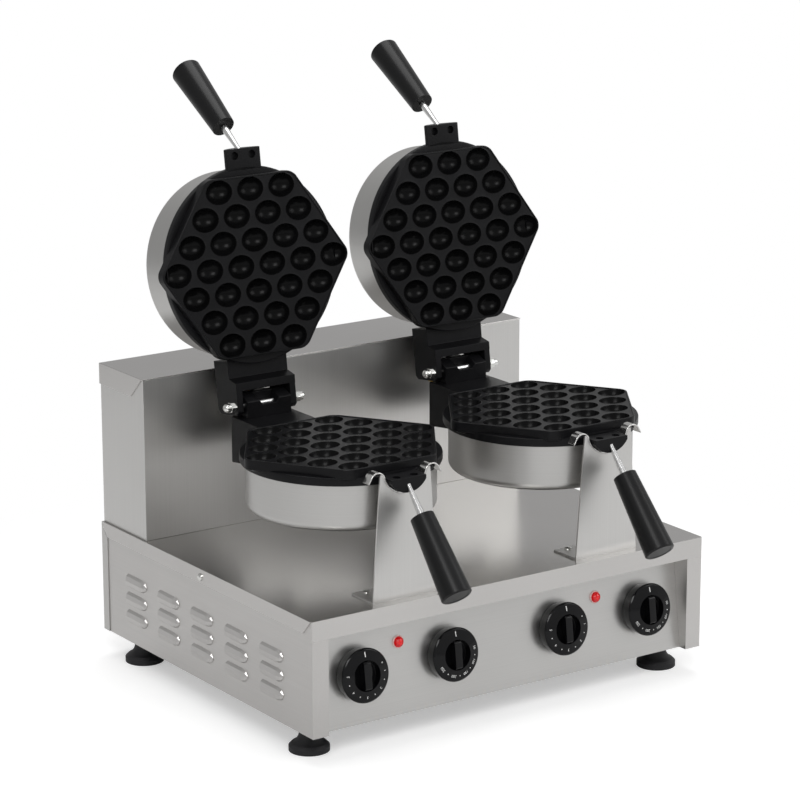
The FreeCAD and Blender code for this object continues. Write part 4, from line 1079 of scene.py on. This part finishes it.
    def lug(self, bm: Mesh) -> None:
        """Add the half-round journal lug with its two wells.

        Args:
            bm: The casting's mesh.
        """
        part = bmesh.new()
        bmesh.ops.create_circle(
            part, cap_ends=True, segments=self.round_sides, radius=self.journal_radius
        )
        for point, outward in (
            ((self.lug_half_width, 0, 0), (1, 0, 0)), ((-self.lug_half_width, 0, 0), (-1, 0, 0)),
            ((0, -self.wall, 0), (0, 1, 0)),
        ):
            bmesh.ops.bisect_plane(
                part, geom=part.verts[:] + part.edges[:] + part.faces[:], dist=TOUCH,
                plane_co=point, plane_no=outward, clear_outer=True,
            )
        pull(part, part.faces[:], (0, 0, self.lug_end - self.lug_back), True)
        point_outward(part)
        stand = Matrix.Translation((0, -self.lug_back, 0)) @ Matrix.Rotation(
            math.radians(90), 4, "X"
        )
        bmesh.ops.transform(part, matrix=stand, verts=part.verts)
        soften(part, self.lug_round, self.lug_edge_angle)
        top = max(
            part.faces,
            key=lambda item: (round(item.calc_center_median().z, DIGITS), item.calc_area()),
        )
        height = top.calc_center_median().z
        edges = top.edges[:]
        bmesh.ops.delete(part, geom=[top], context="FACES_ONLY")
        for hand in (-1, 1):
            well = Vector((hand * self.lug_hole_x, self.lug_hole_from_end - self.lug_end, height))
            place = Matrix.Translation(well)
            mouth = add_ring(part, self.lug_hole_sides, self.lug_hole_radius, place)
            edges += mouth
            grown = bmesh.ops.extrude_edge_only(part, edges=mouth)["geom"]
            bmesh.ops.translate(part, vec=(0, 0, -self.lug_hole_depth), verts=verts_of(grown))
            bmesh.ops.contextual_create(part, geom=edges_of(grown))
        bmesh.ops.triangle_fill(part, use_beauty=True, use_dissolve=False, edges=edges)
        point_outward(part)
        join(bm, part)

    def hinge_block(self, bm: Mesh) -> None:
        """Add the block behind the lower casting, its ledge and its notched knuckle.

        Args:
            bm: The casting's mesh.
        """
        half = self.block_half_width
        start = self.hex_flat - self.sunk
        toe = -self.wall - self.cast_round
        block = [
            (start, -self.ledge_drop), (start, toe), (self.block_front, toe),
            (self.block_front, -self.block_toe_drop), (self.block_heel, -self.block_heel_drop),
            (self.block_back, -self.block_drop), (self.block_back, -self.ledge_drop),
        ]
        prism(bm, block, 2 * half, along_x(-half), self.cast_round)
        self.knuckle(bm)

    def knuckle(self, bm: Mesh) -> None:
        """Add the knuckle, notched in front to show the pin and raised behind it.

        Args:
            bm: The casting's mesh.
        """
        half = self.knuckle_half_width
        low = -self.wall - self.cast_round
        outline = [
            (-half, low), (half, low), (half, self.knuckle_rise),
            (self.notch_top_width / 2, self.knuckle_rise),
            (self.notch_floor_width / 2, self.notch_floor),
            (-self.notch_floor_width / 2, self.notch_floor),
            (-self.notch_top_width / 2, self.knuckle_rise), (-half, self.knuckle_rise),
        ]
        part = bmesh.new()
        corners = [part.verts.new((x, self.knuckle_front, z)) for x, z in outline]
        far = verts_of(pull(part, [part.faces.new(corners)], (0, self.notch_depth, 0)))
        crest = [vert for vert in far if vert.co.z > self.notch_floor + self.sunk]
        rise = self.knuckle_crest - self.knuckle_rise
        bmesh.ops.translate(part, vec=(0, 0, rise), verts=crest)
        point_outward(part)
        soften(part, self.edge_round, self.knuckle_edge_angle)
        join(bm, part)
        start = self.knuckle_front + self.notch_depth - self.sunk
        wall = [
            (start, low), (self.block_back, low), (self.block_back, self.knuckle_crest),
            (start, self.knuckle_crest),
        ]
        inset = half - self.wall_inset
        prism(bm, wall, 2 * inset, along_x(-inset), self.edge_round)

    def hinge_arm(self, bm: Mesh) -> None:
        """Add the arm, its coved crossbar and the two ears behind the upper casting.

        Args:
            bm: The casting's mesh.
        """
        outer = self.ear_outer
        back = -self.arm_back
        arm = [
            (self.hex_flat - self.sunk, -self.arm_face), (self.cove_start, -self.arm_face),
            (self.bar_front, -self.bar_face), (self.bar_back, -self.bar_face),
            (self.bar_back, back), (self.arm_front, back),
            (self.arm_front, -self.arm_face - self.sunk),
            (self.hex_flat - self.sunk, -self.arm_face - self.sunk),
        ]
        prism(bm, arm, 2 * outer, along_x(-outer), self.edge_round)
        ear_end = self.pin_back + self.ear_below_pin
        ear_start = self.bar_back - self.cast_round
        corner = self.ear_corner
        high = -self.bar_face - self.wall_inset
        low = back + self.wall_inset
        ear = [
            (ear_start, high), (ear_end - corner, high), (ear_end, high - corner),
            (ear_end, low + corner), (ear_end - corner, low), (ear_start, low),
        ]
        thickness = self.ear_outer - self.ear_inner
        for start in (-self.ear_outer + self.wall_inset, self.ear_inner):
            prism(bm, ear, thickness - self.wall_inset, along_x(start), self.edge_round)


@dataclass
class Knob:
    """One round knob on the leaning panel, with its printed dial.

    Attributes:
        name: Name of its body, without the ending.
        figures: What is printed round the dial, with the turn of each in degrees clockwise
            from the tick at the top.
    """

    name: str
    figures: tuple[tuple[float, str], ...]
    radius: float = 29.5 * MM
    gap: float = 1 * MM
    skirt: float = 12.5 * MM
    crest: float = 16.5 * MM
    well_radius: float = 16.5 * MM
    well_depth: float = 8 * MM
    bar_width: float = 9 * MM
    bar_rise: float = 2 * MM
    lean: float = math.radians(7.5)
    print_rise: float = 0.06 * MM
    figure_size: float = 4.2 * MM
    figure_steps: int = 3
    base_taper: float = 1.4 * MM
    shoulder: float = 1.6 * MM
    well_taper: float = 1 * MM
    sunk: float = 1 * MM
    bar_slant: float = 2 * MM
    bar_round: float = 0.8 * MM
    edge_round: float = 0.5 * MM
    sides: int = 96
    tick: tuple[float, float] = (1.1 * MM, 5.5 * MM)
    dot: tuple[float, float] = (1.0 * MM, 1.2 * MM)

    def place(self) -> Matrix:
        """Where the knob's own axes stand.

        Returns:
            The place, with +Z out of the panel and +Y up it.
        """
        joint = next(item for item in frame["joints"] if item["child"] == self.name + "_dial")
        low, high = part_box(self.name + "_knob")
        turn = Matrix.Rotation(math.radians(90) - self.lean, 4, "X")
        outward = turn.to_3x3() @ Vector((0, 0, 1))
        middle = (low + high) / 2
        reach = self.gap + (self.crest + self.bar_rise) / 2
        origin = Vector(joint["pos_m"])
        along = (middle - origin).dot(outward) - reach
        return Matrix.Translation(origin + outward * along) @ turn

    def build(self) -> None:
        """Build the knob and its printing."""
        place = self.place()
        bm = bmesh.new()
        top = self.gap + self.crest
        floor = top - self.well_depth
        turned(
            bm,
            [
                (0, self.gap), (self.radius - self.base_taper, self.gap),
                (self.radius, self.gap + self.skirt),
                (self.radius - self.shoulder, self.gap + self.skirt + self.shoulder),
                (self.well_radius, top), (self.well_radius - self.well_taper, floor), (0, floor),
            ],
            self.sides,
            place,
            self.edge_round,
        )
        reach = self.well_radius - self.well_taper
        ridge = top + self.bar_rise
        bar = [
            (-reach, floor - self.sunk), (reach, floor - self.sunk), (reach, top),
            (reach - self.bar_slant, ridge), (self.bar_slant - reach, ridge), (-reach, top),
        ]
        prism(bm, bar, self.bar_width, place @ along_x(-self.bar_width / 2), self.bar_round)
        node = self.name + "_knob"
        add_piece(node + "_body", bm, KNOB_PLASTIC, self.name + "_dial", node)
        self.printing(place)

    def ring_height(self, radius: float) -> float:
        """Height of the dished ring's face at a radius.

        Args:
            radius: Distance from the knob's axis.

        Returns:
            Height above the panel's face.
        """
        outer = self.radius - self.shoulder
        low = self.gap + self.skirt + self.shoulder
        high = self.gap + self.crest
        share = (outer - radius) / (outer - self.well_radius)
        return low + share * (high - low)

    def printing(self, place: Matrix) -> None:
        """Print the tick and the figures on the dished ring.

        Args:
            place: Where the knob's own axes stand.
        """
        bm = bmesh.new()
        middle = (self.radius + self.well_radius) / 2
        outer = self.radius - self.shoulder
        slope = math.atan2(
            self.ring_height(self.well_radius) - self.ring_height(outer), outer - self.well_radius,
        )
        for turn, figure in ((0.0, "|"),) + self.figures:
            spot = (
                place
                @ Matrix.Rotation(-math.radians(turn), 4, "Z")
                @ Matrix.Translation((0, middle, self.ring_height(middle)))
                @ Matrix.Rotation(-slope, 4, "X")
            )
            if figure == "|":
                self.mark(bm, spot, *self.tick)
            elif figure == ".":
                self.mark(bm, spot, *self.dot)
            else:
                self.figure(bm, spot, figure)
        add_piece(self.name + "_knob_print", bm, KNOB_PRINT, self.name + "_dial")

    def mark(self, bm: Mesh, spot: Matrix, width: float, length: float) -> None:
        """Print one bar.

        Args:
            bm: The printing's mesh.
            spot: Its middle, with +Y outward along the ring.
            width: Its width.
            length: Its length.
        """
        x, y = width / 2, length / 2
        low = spot @ Matrix.Translation((0, 0, -self.print_rise))
        prism(bm, [(-x, -y), (x, -y), (x, y), (-x, y)], 2 * self.print_rise, low)

    def figure(self, bm: Mesh, spot: Matrix, text: str) -> None:
        """Print one number.

        Args:
            bm: The printing's mesh.
            spot: Its middle, with +Y outward along the ring.
            text: The number.
        """
        curve = bpy.data.curves.new("figure", "FONT")
        curve.body = text
        curve.size = self.figure_size
        curve.align_x = "CENTER"
        curve.align_y = "CENTER"
        curve.extrude = self.print_rise
        curve.resolution_u = self.figure_steps
        writer = bpy.data.objects.new("figure", curve)
        bpy.context.scene.collection.objects.link(writer)
        bpy.context.view_layer.update()
        flat = bpy.data.meshes.new_from_object(writer)
        flat.transform(spot)
        bm.from_mesh(flat)
        bpy.data.objects.remove(writer)
        bpy.data.curves.remove(curve)
        bpy.data.meshes.remove(flat)


@dataclass
class Grip:
    """One tapered handle grip.

    Attributes:
        side: The iron that it belongs to.
        half: The half that it belongs to.
    """

    side: Side
    half: Half
    near_radius: float = 13 * MM
    far_radius: float = 16.9 * MM
    length: float = 94.8 * MM
    bore: float = 3.25 * MM
    rod_visible: float = 35 * MM
    root_drop: float = 20 * MM
    slope: float = math.radians(48.5)
    rod_in_lug: float = 8 * MM
    rod_in_grip: float = 3.8 * MM
    rod_neck: float = 2 * MM
    rod_shoulder: float = 1.5 * MM
    rod_root_radius: float = 2.7 * MM
    rod_end_radius: float = 4.2 * MM
    rod_seat_radius: float = 3.2 * MM
    rod_round: float = 0.4 * MM
    rod_sides: int = 40
    socket: float = 4 * MM
    end_slant: float = 1.5 * MM
    groove: float = 4.2 * MM
    groove_depth: float = 0.5 * MM
    edge_round: float = 0.9 * MM
    edge_steps: int = 3
    sides: int = 72

    def build(self, iron: Iron) -> None:
        """Build the grip and its tapered rod.

        Args:
            iron: The iron that carries it.
        """
        place = iron.lower_place() if self.half is Half.LOWER else iron.upper_place()
        root = Matrix.Translation((0, -iron.lug_end, -self.root_drop))
        stand = place @ root @ Matrix.Rotation(math.pi / 2 + self.slope, 4, "X")
        bm = bmesh.new()
        start = self.rod_visible
        end = start + self.length
        dish = end - self.groove_depth
        turned(
            bm,
            [
                (0, start + self.socket), (self.bore, start + self.socket), (self.bore, start),
                (self.near_radius, start), (self.far_radius, end - self.end_slant),
                (self.far_radius - self.end_slant, end), (self.far_radius - self.groove, end),
                (self.far_radius - self.groove - self.groove_depth, dish), (0, dish),
            ],
            self.sides,
            stand,
            self.edge_round,
            self.edge_steps,
        )
        name = f"{self.side.value}_{self.half.value}"
        body = self.side.value + ("_pan" if self.half is Half.LOWER else "_lid")
        add_piece(name + "_handle_grip", bm, GRIP_PLASTIC, body, name + "_grip")
        rod = bmesh.new()
        turned(
            rod,
            [
                (0, -self.rod_in_lug), (self.rod_root_radius, -self.rod_in_lug),
                (self.rod_root_radius, self.rod_neck),
                (self.rod_end_radius, start - self.rod_shoulder), (self.rod_seat_radius, start),
                (self.rod_seat_radius, start + self.rod_in_grip), (0, start + self.rod_in_grip),
            ],
            self.rod_sides,
            stand,
            self.rod_round,
        )
        add_piece(name + "_handle_rod", rod, CHROME, body, name + "_rod")


@dataclass
class HingeNuts:
    """The pair of domed nuts on one hinge pin."""

    side: Side
    across_corners: float = 12.6 * MM
    hex_length: float = 6.5 * MM
    dome_radius: float = 5 * MM
    dome_wall: float = 3 * MM
    dome_steps: int = 9
    sunk: float = 1 * MM
    corner_round: float = 0.6 * MM
    sides: int = 40

    def build(self, iron: Iron) -> None:
        """Build the two nuts.

        Args:
            iron: The iron that carries them.
        """
        bm = bmesh.new()
        for hand in (-1, 1):
            seat = (
                iron.upper_place()
                @ Matrix.Translation((hand * iron.ear_outer, iron.pin_back, -iron.pin_rise))
                @ Matrix.Rotation(hand * math.radians(90), 4, "Y")
            )
            radius = self.across_corners / 2
            outline = [
                (radius * math.cos(corner * math.pi / 3), radius * math.sin(corner * math.pi / 3))
                for corner in range(6)
            ]
            prism(bm, outline, self.hex_length, seat, self.corner_round)
            root = self.hex_length - self.sunk
            reach = self.dome_radius
            dome = [(0, root), (reach, root)]
            wall = self.hex_length + self.dome_wall
            for step in range(self.dome_steps):
                turn = math.pi / 2 * step / self.dome_steps
                dome.append((reach * math.cos(turn), wall + reach * math.sin(turn)))
            dome.append((0, wall + reach))
            turned(bm, dome, self.sides, seat)
        name = self.side.value
        add_piece(name + "_domed_nuts", bm, ZINC, name + "_lid", name + "_acorn_nuts")


@dataclass
class KeptSolids:
    """The solids whose shape is right as it is."""

    def build(self) -> None:
        """Dress each of them."""
        finishes = {
            "bottom_cover": FRONT_SHEET, "left_side_panel": SIDE_SHEET,
            "right_side_panel": SIDE_SHEET, "feet": FOOT_RUBBER, "foot_studs": ZINC,
            "timers": CASE_PLASTIC, "thermostats": CASE_PLASTIC, "lamp_lenses": LENS,
            "lamp_bodies": BEZEL_PLASTIC, "terminal_block": CASE_PLASTIC,
            "cable_gland": GLAND_PLASTIC, "bracket_screws": ZINC, "flap_screws": ZINC,
        }
        for side in Side:
            for ending, finish in (
                ("shaft", SHAFT_METAL), ("shaft_bearing", BRASS), ("shaft_collar", SHAFT_METAL),
                ("hinge_pin", CHROME), ("lower_cup", LOWER_CUP_METAL),
                ("upper_cup", UPPER_CUP_METAL), ("timer_spindle", SHAFT_METAL),
                ("thermostat_spindle", SHAFT_METAL), ("lower_heater", HEATER_METAL),
                ("upper_heater", HEATER_METAL),
            ):
                finishes[f"{side.value}_{ending}"] = finish
        for node, finish in finishes.items():
            dress_node(node, finish)
        LOG.info("kept solids: %d", len(finishes))


@dataclass
class Studio:
    """Floor, lamps, surroundings and camera."""

    camera_place: tuple[float, float, float] = (-1.9468, -2.7941, 1.2140)
    heading: float = math.radians(34.52)
    pitch: float = math.radians(14.77)
    roll: float = math.radians(-0.10)
    focal_pixels: float = 3195.8
    picture_pixels: float = 800.0
    sensor: float = 36.0
    floor_size: float = 30.0
    floor_glow: float = 0.4
    shadow_reach: float = 0.38
    white_from: float = 0.8
    floor_tone: str = "#E6E6E6"
    floor_roughness: float = 0.9
    white: str = "#FFFFFF"
    room_tone: str = "#B4B4B4"
    room_axis: tuple[float, float, float] = (0.35, -0.65, 0.3)
    room_glow: tuple[tuple[float, str], ...] = ((0.2, "#A6A6A6"), (0.8, "#CFCFCF"))
    lamp_aim: tuple[float, float, float] = (0.0, 0.0, 0.3)
    far_clip: float = 100.0

    def build(self) -> None:
        """Set up everything that isn't the machine."""
        self.camera()
        self.floor()
        self.surroundings()
        self.lamp("key softbox", (-1.6, -2.2, 2.4), 1.5, 42.0)
        self.lamp("fill softbox", (2.2, -1.8, 1.8), 1.6, 20.0)
        self.lamp("top softbox", (0.2, 0.6, 2.8), 1.8, 28.0)
        settings = bpy.context.scene.view_settings
        settings.view_transform = "Standard"

    def camera(self) -> None:
        """Add the camera at the photograph's angle."""
        data = bpy.data.cameras.new("camera")
        data.sensor_width = self.sensor
        data.lens = self.sensor * self.focal_pixels / self.picture_pixels
        data.clip_end = self.far_clip
        camera = bpy.data.objects.new("camera", data)
        turn = (
            Matrix.Rotation(-self.heading, 4, "Z")
            @ Matrix.Rotation(math.pi / 2 - self.pitch, 4, "X")
            @ Matrix.Rotation(self.roll, 4, "Z")
        )
        camera.matrix_world = Matrix.Translation(self.camera_place) @ turn
        bpy.context.scene.collection.objects.link(camera)
        bpy.context.scene.camera = camera

    def floor(self) -> None:
        """Add the pale floor, white to the camera but for the machine's shadow."""
        bm = bmesh.new()
        bmesh.ops.create_grid(bm, x_segments=1, y_segments=1, size=self.floor_size / 2)
        mesh = bpy.data.meshes.new("floor")
        bm.to_mesh(mesh)
        bm.free()
        floor = bpy.data.objects.new("floor", mesh)
        bpy.context.scene.collection.objects.link(floor)
        paint = bpy.data.materials.new("pale studio floor")
        paint.use_nodes = True
        tree = paint.node_tree
        shader = tree.nodes["Principled BSDF"]
        shader.inputs["Base Color"].default_value = linear(self.floor_tone)
        shader.inputs["Roughness"].default_value = self.floor_roughness
        shader.inputs["Specular IOR Level"].default_value = 0.0
        shader.inputs["Emission Color"].default_value = linear(self.white)
        rays = add_node(tree, "LightPath").outputs
        glow = add_node(
            tree, "Math", settings={"operation": "MULTIPLY"}, values={1: self.floor_glow},
            links={0: rays["Is Camera Ray"]},
        )
        tree.links.new(glow.outputs[0], shader.inputs["Emission Strength"])
        place = add_node(tree, "TexCoord").outputs["Object"]
        distance = add_node(tree, "VectorMath", settings={"operation": "LENGTH"}, links={0: place})
        fade = add_node(
            tree, "MapRange", settings={"interpolation_type": "SMOOTHSTEP"},
            values={"From Min": self.shadow_reach, "From Max": self.white_from},
            links={"Value": distance.outputs["Value"]},
        )
        share = add_node(
            tree, "Math", settings={"operation": "MULTIPLY"},
            links={0: fade.outputs["Result"], 1: rays["Is Camera Ray"]},
        )
        white = add_node(tree, "Emission", values={"Color": linear(self.white)})
        both = add_node(
            tree, "MixShader",
            links={0: share.outputs[0], 1: shader.outputs[0], 2: white.outputs[0]},
        )
        output = tree.nodes["Material Output"]
        tree.links.new(both.outputs[0], output.inputs["Surface"])
        mesh.materials.append(paint)

    def surroundings(self) -> None:
        """Add the pale room: white where it is seen, plain where it lights."""
        world = bpy.data.worlds.new("pale studio")
        bpy.context.scene.world = world
        world.use_nodes = True
        tree = world.node_tree
        background = tree.nodes["Background"]
        rays = add_node(tree, "LightPath").outputs
        seen = add_node(
            tree, "Math", settings={"operation": "MAXIMUM"},
            links={0: rays["Is Camera Ray"], 1: rays["Is Transmission Ray"]},
        )
        direction = add_node(tree, "TexCoord").outputs["Generated"]
        facing = add_node(
            tree, "VectorMath", settings={"operation": "DOT_PRODUCT"},
            values={1: self.room_axis}, links={0: direction},
        )
        part = add_node(
            tree, "MapRange", values={"From Min": -1.0, "From Max": 1.0},
            links={"Value": facing.outputs["Value"]},
        )
        tone = ramp(tree, part.outputs["Result"], list(self.room_glow))
        glossy = add_node(
            tree, "Mix", settings={"data_type": "RGBA"},
            values={6: linear(self.room_tone)}, links={0: rays["Is Glossy Ray"], 7: tone},
        )
        shown = add_node(
            tree, "Mix", settings={"data_type": "RGBA"}, values={7: linear(self.white)},
            links={0: seen.outputs[0], 6: glossy.outputs[2]},
        )
        tree.links.new(shown.outputs[2], background.inputs["Color"])

    def lamp(self, name: str, place: tuple[float, float, float], size: float, power: float) -> None:
        """Add one softbox that looks at the middle of the machine.

        Args:
            name: Its name.
            place: Where it stands.
            size: Its side.
            power: Its power in watts.
        """
        data = bpy.data.lights.new(name, "AREA")
        data.size = size
        data.energy = power
        lamp = bpy.data.objects.new(name, data)
        aim = Vector(self.lamp_aim) - Vector(place)
        turn = aim.to_track_quat("-Z", "Y").to_matrix().to_4x4()
        lamp.matrix_world = Matrix.Translation(place) @ turn
        lamp.visible_camera = False
        bpy.context.scene.collection.objects.link(lamp)


TIMER_FIGURES = (
    (62.0, "."), (86.0, "1"), (110.0, "."), (134.0, "2"), (158.0, "."), (182.0, "3"), (206.0, "."),
    (230.0, "4"), (254.0, "."), (278.0, "5"),
)
THERMOSTAT_FIGURES = (
    (80.0, "50"), (100.0, "."), (118.0, "100"), (138.0, "."), (156.0, "150"), (176.0, "."),
    (196.0, "200"), (216.0, "."), (238.0, "250"),
)


def main() -> None:
    """Build the machine's looks in order."""
    logging.basicConfig(level=logging.INFO, format="%(message)s")
    Studio().build()
    KeptSolids().build()
    FoldedSheets().build()
    for side in Side:
        iron = Iron(side)
        iron.build()
        for half in Half:
            Grip(side, half).build(iron)
        HingeNuts(side).build(iron)
        Knob(side.value + "_timer", TIMER_FIGURES).build()
        Knob(side.value + "_thermostat", THERMOSTAT_FIGURES).build()
    LOG.info("sizes written")


if __name__ == "__main__":
    main()
